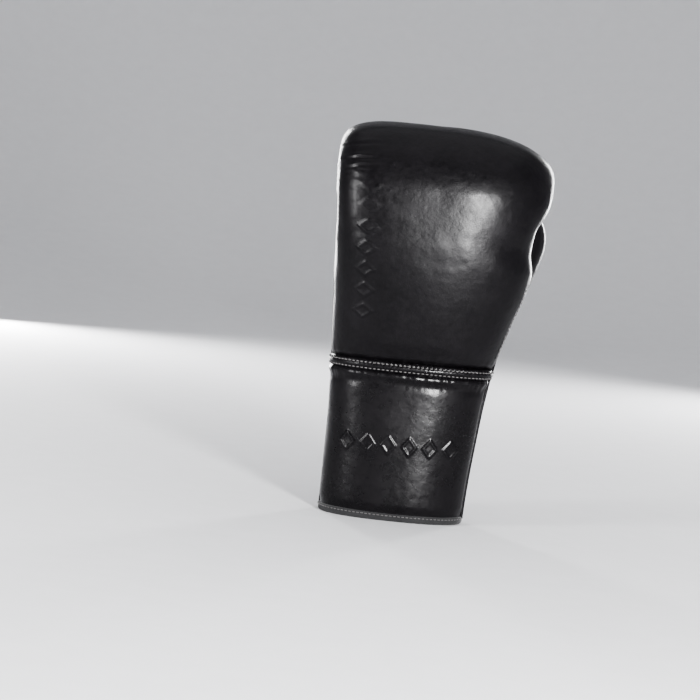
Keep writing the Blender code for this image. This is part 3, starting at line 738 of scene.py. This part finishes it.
def build_mitt():
    """The leather from the wrist seam over the knuckles and round the curled fingers."""
    stations = np.concatenate([np.linspace(4.06, 9.9, 150), np.linspace(9.95, END_T, 270)])
    t, a = spread(stations, *seam_edges(stations), 250)
    h = mitt_relief(form(t, a), t, a)
    mitt = layer("mitt_leather", t, a, h, LEATHER_THICK, LEATHER, "black_leather", NEST_LEATHER)
    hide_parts("hand_back_leather", "hand_back_foam", "fist_leather", "fist_impact_foam",
                "fist_inner_foam")
    weigh(mitt, np.concatenate([finger_weight(t).ravel()] * 2))


def pad_top(x):
    """Height of a pad's upper edge, which falls away towards the side seam."""
    return PAD_TOP_Z - 12 * smooth(-12, -60, x)


# Folds of the palm leather: direction in degrees, width in degrees, depth
PALM_FOLDS = (
    (26, 5, 2.3),
    (41, 4, 1.9),
    (55, 5, 2.5),
    (76, 6, 1.8),
    (103, 6, 2.4),
    (125, 6, 2.1),
    (150, 6, 2),
)


def palm_relief(points):
    """Height of the palm leather: folds that fan out from the pad's seam, and one under the crease."""
    x, z = points[..., 0], points[..., 2]
    h = 0.5 + 0.5 * cloud(points, 28, 1.7) + 0.12 * cloud(points, 7, 2.7)
    out_x, out_z = x + 27, z - 158
    turn = np.degrees(np.arctan2(out_z, out_x)) + 7 * cloud(points, 24, 4.2)
    reach = np.hypot(out_x, out_z)
    fade = smooth(10, 16, reach) * (1 - smooth(30, 52, reach))
    for at, wide, deep in PALM_FOLDS:
        h = h - deep * bell(turn, at, wide) * fade
    wave = z + 0.10 * x + 2.5 * np.sin(x * 0.07)
    h = h - 1.9 * bell(wave, 200, 3.2) * smooth(-56, -40, x) * (1 - smooth(-14, 2, x))
    gather = cloud(points * (1, 0, 0.15), 3.6, 6.6)
    above_seam = z - pad_top(x)
    return h + 1.3 * gather * (1 - smooth(4, 18, above_seam)) - 2.2 * (1 - smooth(-1, 4, above_seam))


def build_palm():
    """The palm leather above the padded strips, gathered into the seam along their tops."""
    stations = np.linspace(station(160), 9.93, 130)
    high, low = seam_edges(stations)
    low = low - 360
    t, a = spread(stations, low, high, 190)
    edge = 1 - smooth(0, 6, np.minimum(a - low[:, None], high[:, None] - a))
    h = palm_relief(form(t, a)) - 0.9 * edge
    palm = layer("palm_panel", t, a, h, LEATHER_THICK, LEATHER, "black_leather", NEST_LEATHER)
    cut_keyhole(palm)
    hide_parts("palm_leather", "palm_foam")
    weigh(palm, finger_weight(palm_station(heights_of(palm))))
    line = np.linspace(-55, -6, 90)
    rows = [palm_line(line, pad_top(line) + up, -0.3 + 0.25 * up, 4) for up in (1.6, 4.6)]
    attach(stitches("palm_stitches", rows), "hand")


def cut_keyhole(piece):
    """Takes out the faces of a piece that lie over the palm opening."""
    work = bmesh.new()
    work.from_mesh(piece.data)
    gone = []
    for face in work.faces:
        x, _, z = np.array(face.calc_center_median()) / MM - ORIGIN
        half = float(opening_half(min(z, ARCH_Z))) + 3
        over = z < ARCH_Z and abs(x - slit_x(z)) < half
        arch = z >= ARCH_Z and math.hypot(x - slit_x(ARCH_Z), z - ARCH_Z) < KEYHOLE_HALF + 3
        if over or arch:
            gone.append(face)
    bmesh.ops.delete(work, geom=gone, context="FACES")
    work.to_mesh(piece.data)
    work.free()


def build_thumb():
    """The thumb, with wrinkles that fan out from where it leaves the hand."""
    rows = np.array(THUMB_ROWS)
    t = np.linspace(0, len(rows) - 1, 150)
    turn = full_turn(120)
    values = smooth_rows(rows, t)
    x, y, z, half_x, half_y = (values[:, k, None] for k in range(5))
    power = 2.25
    c, s = np.cos(turn)[None], np.sin(turn)[None]
    reach = reach_of(c, s, power)
    points = stack(x + half_x * c * reach, y + half_y * s * reach, z)
    out = unit(stack(c / half_x, s / half_y, 0 * z))
    h = 0.5 * cloud(points, 34, 3.3) + 0.2 * cloud(points, 13, 6.1)
    height = points[..., 2]
    fan = np.abs(np.sin(height * 0.30 + c * 2.4 + 1.1 * cloud(points, 20, 8.8))) ** 0.8 - 0.55
    h = h + fan * smooth(126, 146, height) * (1 - smooth(165, 205, height))
    near_fist = bell(c + 0 * height, -0.7, 0.5) * bell(height, 228, 12)
    h = h + 0.9 * near_fist * cloud(points * (1, 1, 0.3), 4.5, 1.1)
    seam_turn = 250
    seam = smooth(140, 150, height) * (1 - smooth(228, 238, height))
    h = h - 0.9 * bell(np.degrees(turn)[None], seam_turn, 4) * seam
    h = h * np.clip(half_x / 8, 0, 1)
    low_end, high_end = caps(len(t), len(turn))
    faces = grid_faces(len(t), len(turn), 0, True) + [low_end[::-1], high_end]
    thumb = mesh_object("thumb_cover", points + out * h[..., None], faces, LEATHER, "black_leather")
    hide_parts("thumb_leather", "thumb_foam", "thumb_lining")
    weigh(thumb, thumb_weight(height))
    line = smooth_rows(rows, np.linspace(2.6, 8.4, 90))
    paths = []
    for offset in (-0.11, 0.11):
        at = math.radians(seam_turn) + offset
        c, s = math.cos(at), math.sin(at)
        away = reach_of(c, s, power)
        spots = stack(line[:, 0] + line[:, 3] * c * away, line[:, 1] + line[:, 4] * s * away, line[:, 2])
        paths.append((spots, np.broadcast_to([c, s, 0], spots.shape)))
    row = stitches("thumb_stitches", paths)
    weigh(row, thumb_weight(heights_of(row)))


def pad_edges(side, z):
    """Angles of a pad's edges: beside the lace strip, and at the side seam or before the thumb."""
    t = station(z)
    near = angle_of(t, slit_x(z) + side * (opening_half(z) + STRIP_WIDTH - 1))
    if side < 0:
        return near, np.full(z.shape, LITTLE_SEAM)
    seam = np.full(z.shape, THUMB_SEAM)
    before_thumb = angle_of(t, THUMB_INNER_X)
    return near, seam + (before_thumb - seam) * smooth(119, 142, z)


def pad_relief(side, points, u, z, top):
    """Height of a pad's leather: crowned, drawn in at its edges, creased and wrinkled at the wrist."""
    h = 2.7 * (1 - np.abs(2 * u - 1) ** 2.7) - 1.2
    h = h + 0.5 * cloud(points, 38, 11 + side) + 0.14 * cloud(points, 9, 4)
    h = h - 1.6 * (1 - smooth(5, 13, z)) - 1.4 * smooth(top - 9, top, z)
    bent = 114 + 2.5 * np.sin(u * 5 + side) - 5 * smooth(0.5, 0, u)
    deep = smooth(0, 0.3, u) * (1 - smooth(0.66, 0.98, u))
    beside = 0.8 * bell(z, bent + 6, 3.2) + 0.7 * bell(z, bent - 6, 3.2)
    h = h - 2.4 * bell(z, bent, 2.4) * deep + beside * deep
    x, y = points[..., 0] * 0.3, points[..., 1] * 0.3
    slant = stack(x, y, z + x * side)
    folds = 1 - 2 * np.abs(cloud(slant, 6.5, 2))
    zone = smooth(48, 76, z) * (1 - smooth(100, 110, z)) * bell(u, 0.30, 0.2)
    small = bell(z, 124, 10) * bell(u, 0.33, 0.2)
    return h + 1.5 * (folds - 0.6) * zone + 0.6 * (folds - 0.6) * small


def build_pads():
    """The padded panel on each side of the palm opening."""
    for side, name, cad in SIDES:
        share = np.linspace(0, 1, 100)
        rows = np.linspace(0, 1, 240)
        flat = HEM_TOP + (PAD_TOP_Z - HEM_TOP) * rows
        near, far = pad_edges(side, flat)
        a = near[:, None] + (far - near)[:, None] * share
        x = form(np.broadcast_to(station(flat)[:, None], a.shape), a)[..., 0]
        top = pad_top(x[-1])[None, :] + 0 * a
        z = HEM_TOP + (top - HEM_TOP) * rows[:, None]
        t = station(z)
        u = np.broadcast_to(share[None, :], z.shape)
        h = pad_relief(side, form(t, a), u, z, top)
        pad = layer(f"{name}_pad", t, a, h, PAD_THICK, SHINY_LEATHER, "black_leather")
        nodes = [f"{cad}_{part}" for part in ("cuff_leather", "cuff_foam", "wrist_leather", "wrist_foam")]
        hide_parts(*nodes)
        wrist_blend(pad)
        line = np.linspace(7, 174, 160)
        edge = slit_x(line) + side * (opening_half(line) + STRIP_WIDTH - 1.6)
        rows = [palm_line(edge, line, 0.4, 1.4)]
        wrist_blend(stitches(f"{name}_pad_stitches", rows, 1.7, 0.6, 0.55))


def opening_path(offset, low, step):
    """Points x, z this far outside the palm opening's edge: up, over the arch and down."""
    heights = np.arange(low, ARCH_Z, step)
    half = opening_half(heights) + offset
    left = stack(slit_x(heights) - half, heights)
    right = stack(slit_x(heights) + half, heights)[::-1]
    radius = KEYHOLE_HALF + offset
    count = 34
    turn = np.linspace(math.pi, 0, count + 2)[1:-1]
    over = stack(slit_x(ARCH_Z) + radius * np.cos(turn), ARCH_Z + radius * np.sin(turn))
    return np.concatenate([left, over, right])


def on_palm_high(x, z, h):
    """As on_palm(), and also above the strips, where the palm leans back."""
    t = palm_station(z)
    return raised(t, angle_of(t, x), h)


def build_strips():
    """The facing round the opening, which carries the lace holes, puckered between them."""
    offsets = np.linspace(2.6, STRIP_WIDTH + 0.8, 34)
    grid = np.stack([opening_path(offset, 4.5, 0.8) for offset in offsets], axis=1)
    x, z = grid[..., 0], grid[..., 1]
    away = np.broadcast_to(offsets[None, :], x.shape)
    rows = np.array(LACE_ROWS)
    nearest = rows[np.abs(z[..., None] - rows).argmin(-1)]
    from_hole = np.hypot(away - HOLE_FROM_EDGE, z - nearest)
    laced = 1 - smooth(162, 170, z)
    holes = bell(from_hole, 0, 2.6) * laced
    between = 0.5 - 0.5 * np.cos(2 * math.pi * (z - rows[0]) / LACE_PITCH)
    body = bell(away, HOLE_FROM_EDGE + 0.5, 4.4)
    points = on_palm_high(x, z, 0)
    h = -1.3 + 2.2 * between**0.8 * body * laced - 3.8 * holes
    h = h + 2 * bell(away, HOLE_FROM_EDGE + 1.8, 3.2) * bell(z - nearest, 5, 2.3) * laced
    creases = 1 - 2 * np.abs(cloud(stack(x * 0.9, points[..., 1], z * 0.5), 5, 5))
    h = h + 1.2 * (creases - 0.6) * bell(from_hole, 6.5, 4) * laced + 0.35 * cloud(points, 9, 3)
    h = h - 1.1 * smooth(STRIP_WIDTH - 2.6, STRIP_WIDTH + 0.6, away) * laced + 1.5 * (1 - laced)
    outer, inner = on_palm_high(x, z, h), on_palm_high(x, z, h - 1.7)
    facing = shell("lace_facing", outer, inner, SHINY_LEATHER, "black_leather")
    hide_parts("little_lace_strip", "thumbside_lace_strip", "little_upper_strip",
                "thumbside_upper_strip")
    wrist_blend(facing)
    arches = [opening_path(STRIP_WIDTH - inwards, 172, 1) for inwards in (1.4, 4.6)]
    lines = [palm_line(arch[:, 0], arch[:, 1], 0.5, 1.5) for arch in arches]
    wrist_blend(stitches("facing_stitches", lines, 2.2, 0.9, 0.5))


def build_opening_tape():
    """Binding tape folded over the opening's edge, slightly ruffled round the keyhole."""
    line = opening_path(TAPE_WIDTH / 2 - 0.1, 2.4, 0.8)
    seat, up = palm_line(line[:, 0], line[:, 1], -1.4, 1)
    ruffled = smooth(140, 165, line[:, 1])
    lengths = lengths_along(seat)
    ripple = 0.4 * np.sin(lengths * 1.25 + 1.5 * np.sin(lengths * 0.21)) * (0.25 + ruffled)
    end = from_ends(lengths, 2)
    section = oval(TAPE_WIDTH / 2, 1.9, 16, 3.4)[None] * (0.4 + 0.6 * np.sqrt(end))[:, None, None]
    tape = ribbon("opening_tape", seat + up * ripple[:, None], up, section, TAPE, "binding_tape")
    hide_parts("little_slit_tape", "thumbside_slit_tape", "keyhole_tape")
    wrist_blend(tape)
    row = opening_path(TAPE_WIDTH - 0.9, 8, 1)
    rows = [palm_line(row[:, 0], row[:, 1], 0.4, 2)]
    wrist_blend(stitches("tape_stitches", rows, 2.2, 0.9, 0.34, 0.1))


def hem_path(offset, z, count):
    """Round the hem from one side of the slit to the other."""
    t = station(np.full(count, z))
    left, right = (float(angle_of(t[0], slit_x(z) + side * (SLIT_HALF + 1.2))) for side in (-1, 1))
    a = np.linspace(left, 360 + right, count)
    return raised(t, a, offset), unit(raised(t, a, offset + 1) - raised(t, a, offset))


def build_hem():
    """Binding tape folded round the hem, with its stitch row."""
    path, out = hem_path(-4.2, HEM_TAPE / 2 + 0.05, 420)
    wave = 0.22 * cloud(path, 12, 4)
    lengths = lengths_along(path)
    end = from_ends(lengths, 2.4)
    rounded_end = np.sqrt(np.clip(1 - (1 - end) ** 2, 0.05, 1))
    section = oval(HEM_TAPE / 2, 4.7, 22, 4.2)[None] * (0.35 + 0.65 * rounded_end)[:, None, None]
    tape = ribbon("hem_tape", path + out * wave[:, None], out, section, TAPE, "binding_tape")
    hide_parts("hem_tape_back", "little_hem_tape", "thumbside_hem_tape")
    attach(tape, "cuff")
    row, up = hem_path(0.5, HEM_TAPE - 1.7, 420)
    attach(stitches("hem_stitches", [(row, up)], 2.2, 0.9, 0.4, 0.2), "cuff")


def build_cuff_back():
    """The leather on the back of the cuff, and the narrow stitched band over the wrist seam."""
    columns = 260
    z, a = spread(np.linspace(HEM_TOP, 113.5, 180), LITTLE_SEAM, 360 + THUMB_SEAM, columns)
    share = np.linspace(0, 1, columns)
    t = station(z)
    points = form(t, a)
    x = points[..., 0]
    middle = smooth(0, 0.07, share) * (1 - smooth(0.93, 1, share))
    h = 0.2 + 0.55 * cloud(points, 40, 2.2) + 0.06 * cloud(points, 6, 8.2)
    h = h - 1.2 * (1 - smooth(5, 13, z)) * middle
    pucker = cloud(points * (1, 1, 0.2), 3.4, 6)
    h = h + 0.55 * pucker * smooth(98, 108, z) * middle
    lip = 0.9 * bell(z, 108.2, 2.4) - 0.5 * bell(z, 102.5, 3) - 1.6 * smooth(109.5, 113, z)
    h = h + lip * middle
    h = h - (1 - middle)
    pattern = lozenges(x - CUFF_ROW_X, z - CUFF_ROW_Z)
    h = h + RAISED * pattern * (np.abs(x) < PITCH * CUFF_ROW_COUNT / 2)
    cover = layer("cuff_back_cover", t, a, h, LEATHER_THICK, SHINY_LEATHER, "black_leather")
    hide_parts("cuff_back_leather", "cuff_back_foam")
    wrist_blend(cover)
    build_wrist_band()


def build_wrist_band():
    """The band over the wrist seam, pulled down between the stitches of its two rows."""
    length, gap, low, high = 2.3, 1, 112.9, 117.3
    first, last = LITTLE_SEAM - 0.4, 360.4 + THUMB_SEAM
    z, a = spread(np.linspace(110.9, 119.1, 22), first, last, 420)
    t = station(z)
    middle_row = form(t, a)[len(z) // 2]
    along = lengths_along(middle_row)
    between = 0.5 + 0.5 * np.cos(2 * math.pi * (along - length - (length + gap) / 2) / (length + gap))
    u = (z - 115) / 4.1
    h = 1.5 - 2.6 * np.abs(u) ** 3.5 + 0.25 * cloud(form(t, a), 7, 2.9)
    rows = bell(z, low, 0.9) + bell(z, high, 0.9)
    h = h - (0.35 + 0.55 * between[None, :]) * rows
    band = layer("wrist_band", t, a, h, BAND_THICK, SHINY_LEATHER, "black_leather")
    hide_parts("wrist_seam_band")
    wrist_blend(band)
    line = np.linspace(first, last, 400)
    paths = [along_form(station(np.full(line.shape, row)), line, 0.95) for row in (low, high)]
    wrist_blend(stitches("wrist_stitches", paths, length, gap, 0.6, 0.35))


def build_piping():
    """A bead of piping up each side, where back and palm side meet."""
    for name, seam, high, nodes in (
        ("little_piping", LITTLE_SEAM, 8.9, ("little_cuff_piping", "little_hand_piping")),
        ("thumb_piping", THUMB_SEAM, 5.2, ("thumbside_cuff_piping", "thumbside_hand_piping")),
    ):
        t = np.linspace(0.16, high, 170)
        sink = smooth(high - 1.2, high, t)
        path, out = along_form(t, seam, -0.6 - 1.6 * sink)
        piping = ribbon(name, path, out, oval(1.45, 1.45, 12), LEATHER, "black_leather")
        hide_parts(*nodes)
        wrist_blend(piping)


def lace_half(first_side):
    """Half the lace: out of a hole, down to the slit, under the other strip, out of the next."""
    over, under, inside = 4.3, -3.4, -9.8
    path, side = [], first_side
    for upper, lower in zip(LACE_ROWS[::-1], LACE_ROWS[-2::-1]):
        hole = side * float(opening_half(upper) + HOLE_FROM_EDGE)
        path += [(hole, upper, under), (hole, upper - 0.3, 0), (hole * 0.97, upper - 1, over - 0.6)]
        if lower != LACE_ROWS[0]:
            middle = (upper + lower) / 2 + 2.4 * first_side
            path += [(side * 7, upper * 0.62 + middle * 0.38, over + 0.3)]
            path += [(side * 2.2, middle + 1.4, over - 0.2)]
            path += [(0, middle, 0.2), (-side * 2.2, middle - 1.4, under)]
        side = -side
    last, middle = LACE_ROWS[0], (LACE_ROWS[0] + LACE_ROWS[1]) / 2
    hole = side * float(opening_half(last) + HOLE_FROM_EDGE)
    crossing = over + 0.2 + (2.6 if first_side > 0 else 0)
    path += [(0, middle, crossing), (hole * 0.97, last + 1.2, over), (hole, last, 0)]
    path += [(hole, last + 2, -8), (hole, last + 12, inside), (hole, 40, inside), (hole, 58, inside)]
    return [on_palm(slit_x(z) + x, z, lift - 2.9) for x, z, lift in path]


def rounded(points):
    """The path with its corners cut three times, which makes it a smooth curve."""
    path = np.asarray(points, float)
    for _ in range(3):
        one = path[:-1] * 0.75 + path[1:] * 0.25
        two = path[:-1] * 0.25 + path[1:] * 0.75
        path = np.concatenate([path[:1], np.stack([one, two], axis=1).reshape(-1, 3), path[-1:]])
    return path


def build_lace():
    """One braided lace and the tip on each of its ends, which are tucked inside the cuff."""
    halves = [lace_half(side) for side in (-1, 1)]
    path = resample(rounded([*halves[0][::-1], *halves[1]]), 1)
    lace = ribbon("braided_lace", path, np.array([0, 1, 0.05]), oval(2.2, 1.5, 14, 2.2), LACE, "lace_cord")
    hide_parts("lace")
    wrist_blend(lace)
    for half, name, node in zip(halves, ("thumb", "little"), ("thumbside_lace_tip", "little_lace_tip")):
        direction = unit(half[-1] - half[-2])
        steps = np.array([-3, -2.9, 0, 9, 13, 13.6])
        sizes = np.array([1.2, 1.85, 1.75, 1.75, 1.65, 0.9])
        line = half[-1] + direction * steps[:, None]
        section = oval(1, 1, 16)[None] * sizes[:, None, None]
        tip = ribbon(f"{name}_tip", line, [0, 1, 0], section, TIP, "lace_tip_plastic")
        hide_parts(node)
        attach(tip, "cuff")


def inset(t, a, from_back, from_palm, from_side):
    """Points this far inside the loft's back, its palm side and its two ends."""
    row = smooth_rows(ROWS, t)
    back, palm = row[..., 0:2], row[..., 2:4]
    across = unit(palm - back)
    one = back + across * from_back[..., None]
    two = palm - across * from_palm
    c, s = np.cos(np.radians(a)), np.sin(np.radians(a))
    n = np.where(c > 0, row[..., 7], row[..., 6])
    reach = reach_of(c, s, n)
    flat = (one + two) / 2 + (two - one) / 2 * (reach * s)[..., None]
    x = (row[..., 4] + row[..., 5]) / 2 + ((row[..., 5] - row[..., 4]) / 2 - from_side) * reach * c
    return stack(x, flat[..., 0], flat[..., 1])


def lining(name, stations, depths, low, high, nodes, ring=False):
    """Rippled cloth inside the loft; depths are for the back, the palm side and the ends."""
    back_depth, palm_depth, side_depth = depths
    share = np.linspace(0, 1, LINING_COLUMNS, endpoint=not ring)
    t = np.broadcast_to(stations[:, None], (len(stations), len(share)))
    a = np.broadcast_to((low + (high - low) * share)[None, :], t.shape)
    skins = []
    for extra in (0, CLOTH_THICK):
        from_back, from_side = (np.interp(t, *depth) + extra for depth in (back_depth, side_depth))
        skins.append(inset(t, a, from_back, palm_depth + extra, from_side))
    ripple = 0.35 * cloud(skins[0], 16, 5)
    outer, inner = nest(skins[0], 3), nest(skins[1], 3 + CLOTH_THICK)
    inner = inner + unit(inner - outer) * ripple[..., None]
    made = shell(name, outer, inner, CLOTH, "lining_cloth", ring=ring)
    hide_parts(*nodes)
    return made


def build_hand_linings():
    """The cloth inside the back of the cuff and of the hand."""
    depths = (((0, 4, 10), (11.6, 11.6, 38.6)), 10.2, ((0, 4, 10), (10.6, 10.6, 12.6)))
    edges = (LITTLE_SEAM - 2, 362 + THUMB_SEAM)
    cuff_t = np.linspace(station(5), station(118), 46)
    wrist_blend(lining("cuff_lining", cuff_t, depths, *edges, ["cuff_back_lining"]))
    hand_t = np.linspace(station(117), 9.8, 50)
    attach(lining("hand_lining", hand_t, depths, *edges, ["hand_back_lining"]), "hand")


def build_side_linings():
    """The cloth behind each padded panel, which comes up to the leather beside the opening."""
    for side, name, cad in SIDES:
        heights = np.linspace(5, 184, 80)
        share = np.linspace(0, 1, 26)
        t = station(heights)
        edge = opening_half(np.minimum(heights, ARCH_Z)) + 3.4
        near = angle_of(t, slit_x(heights) + side * edge)
        far = LITTLE_SEAM - 1 if side < 0 else THUMB_SEAM + 1
        t, a = spread(t, near, far, len(share))
        depth = -9.9 + 5.4 * (1 - smooth(0, 0.34, share))[None, :] * np.ones_like(a)
        wall = layer(f"{name}_side_lining", t, a, depth, BACKING_THICK, CLOTH, "lining_cloth", (4.6, 5.4))
        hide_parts(f"{cad}_cuff_lining", f"{cad}_wrist_lining")
        wrist_blend(wall)


def build_palm_cloth():
    """The cloth behind the palm leather."""
    t, a = spread(np.linspace(7.35, 9.8, 24), 10, 164, 70)
    upper = layer("palm_cloth", t, a, -4.2, BACKING_THICK, CLOTH, "lining_cloth", (4.4, 5.2))
    cut_keyhole(upper)
    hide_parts("palm_lining")
    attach(upper, "hand")


def build_finger_pocket():
    """The cloth pocket that the fingers go into, closed at its far end."""
    stations = np.linspace(FINGERS_T, 21.2, 70)
    depths = (((10, 16, 22), (38.6, 36.6, 25.6)), 6.9, ((10, 16, 22), (28.6, 28.6, 18.6)))
    pocket = lining("finger_pocket_lining", stations, depths, 0, 360, ["finger_lining"], True)
    close_end(pocket, len(stations), LINING_COLUMNS)
    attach(pocket, "fingers")


def close_end(piece, rows, columns):
    """Closes the far end of a ring-shaped shell with a disc on each skin."""
    work = bmesh.new()
    work.from_mesh(piece.data)
    work.verts.ensure_lookup_table()
    for start in (0, rows * columns):
        ring = [work.verts[start + (rows - 1) * columns + i] for i in range(columns)]
        middle = work.verts.new(sum((v.co for v in ring), Vector()) / columns)
        work.verts.ensure_lookup_table()
        for v, w in zip(ring, ring[1:] + ring[:1]):
            work.faces.new((v, w, middle))
    bmesh.ops.recalc_face_normals(work, faces=work.faces)
    work.to_mesh(piece.data)
    work.free()


def build_grip_bar():
    """The padded bar across the palm, cloth sewn round a roll of foam."""
    centre, half, radius = np.array([-2, 8, 203]), 28, 7.3
    x = np.linspace(-half, half, 60)
    path = centre + stack(x, 0.4 * np.sin(x * 0.09), -0.8 * np.cos(x / half * 1.4))
    round_off = np.sqrt(np.clip(1 - (np.abs(x) / half) ** 5, 0.02, 1))
    gather = 1 + 0.05 * np.cos(x * 1.3) * smooth(18, 26, np.abs(x))
    section = oval(1, 1, 28)[None] * (radius * round_off * gather)[:, None, None]
    bar = ribbon("grip_roll", path, [0, 0, 1], section, CLOTH, "lining_cloth")
    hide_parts("grip_bar")
    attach(bar, "hand")


# ---- stage

# Middle of the glove's hem and the glove's height, in shares of the picture
HEM_ACROSS, HEM_DOWN, HEIGHT_SHARE = 0.557, 0.735, 0.557
LEAN = 6  # degrees clockwise
CAMERA_TILT = 4  # degrees the camera looks down
LENS = 110
SENSOR = 36


def make_camera():
    picture = (cad_box[1][2] - cad_box[0][2]) / HEIGHT_SHARE
    distance = picture * LENS / SENSOR
    hem = np.array([ORIGIN[0] * MM, 0, 0])
    tilt, lean = math.radians(CAMERA_TILT), math.radians(LEAN)
    forward = Vector((0, math.cos(tilt), -math.sin(tilt)))
    right, up = Vector((1, 0, 0)), Vector((0, math.sin(tilt), math.cos(tilt)))
    view_right = right * math.cos(lean) + up * math.sin(lean)
    view_up = up * math.cos(lean) - right * math.sin(lean)
    target = Vector(hem) - view_right * (HEM_ACROSS - 0.5) * picture + view_up * (HEM_DOWN - 0.5) * picture
    data = bpy.data.cameras.new("camera")
    data.lens, data.sensor_width = LENS, SENSOR
    camera = add_object("camera", data)
    turn = Matrix((view_right, view_up, -forward)).transposed().to_4x4()
    camera.matrix_world = Matrix.Translation(target - forward * distance) @ turn
    data.clip_start, data.clip_end = 0.05, 30
    bpy.context.scene.camera = camera


def make_floor():
    """A round pale floor that curves up into a pale wall on every side."""
    flat, curve, wall_top = 1.7, 1.9, 4
    rise = np.linspace(0.1, math.pi / 2, 18)
    profile = [(0.001, 0), (0.6, 0), (flat, 0)]
    profile += [(flat + curve * math.sin(a), curve - curve * math.cos(a)) for a in rise]
    profile.append((flat + curve, wall_top))
    sides = 72
    turns = full_turn(sides)
    points = [(r * math.cos(a), r * math.sin(a), z) for r, z in profile for a in turns]
    mesh = bpy.data.meshes.new("floor")
    mesh.from_pydata(points, [], grid_faces(len(profile), sides, 0, True) + [tuple(range(sides))])
    mesh.shade_smooth()
    m = Nodes("pale_floor")
    speckle = m.noise(40, 2)
    m.set(Base_Color=m.mix(speckle, (0.66, 0.66, 0.67, 1), (0.70, 0.70, 0.71, 1)), Roughness=0.8,
          Specular_IOR_Level=0.2)
    mesh.materials.append(m.material)
    add_object("floor", mesh)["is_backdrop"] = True


def area_light(name, place, aim, size, power):
    data = bpy.data.lights.new(name, "AREA")
    data.shape = "RECTANGLE"
    data.size, data.size_y = size
    data.energy = power
    light = add_object(name, data)
    light.visible_camera = False
    light.location = place
    light.rotation_euler = (Vector(aim) - Vector(place)).to_track_quat("-Z", "Y").to_euler()


def make_lights():
    """Tall low panels in front and behind, for long highlights, and a wide one above."""
    middle = (0, 0, 0.12)
    area_light("front_right", (0.48, -1.55, 0.44), middle, (0.18, 0.86), 46)
    area_light("front_left", (-1.2, -0.95, 0.44), middle, (0.24, 0.86), 14)
    area_light("back_right", (0.75, 1.45, 0.46), middle, (0.18, 0.86), 14)
    area_light("back_left", (-0.62, 1.5, 0.46), middle, (0.18, 0.86), 13)
    area_light("ceiling", (0, 0, 3.2), (0, 0, 0), (3.4, 3.4), 18)
    sky = bpy.data.worlds.new("studio")
    sky.use_nodes = True
    background = sky.node_tree.nodes["Background"]
    background.inputs["Color"].default_value = (0.93, 0.95, 1, 1)
    background.inputs["Strength"].default_value = 0.34
    bpy.context.scene.world = sky
    bpy.context.scene.view_settings.look = "AgX - High Contrast"


def write_size():
    boxes = {"cad": cad_box, "visual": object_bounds()}
    plain = {name: [list(corner) for corner in box] for name, box in boxes.items()}


make_camera()
make_floor()
make_lights()
build_mitt()
build_mitt_side_stitches()
build_palm()
build_thumb()
build_pads()
build_strips()
build_opening_tape()
build_hem()
build_cuff_back()
build_piping()
build_lace()
build_hand_linings()
build_side_linings()
build_palm_cloth()
build_finger_pocket()
build_grip_bar()
write_size()
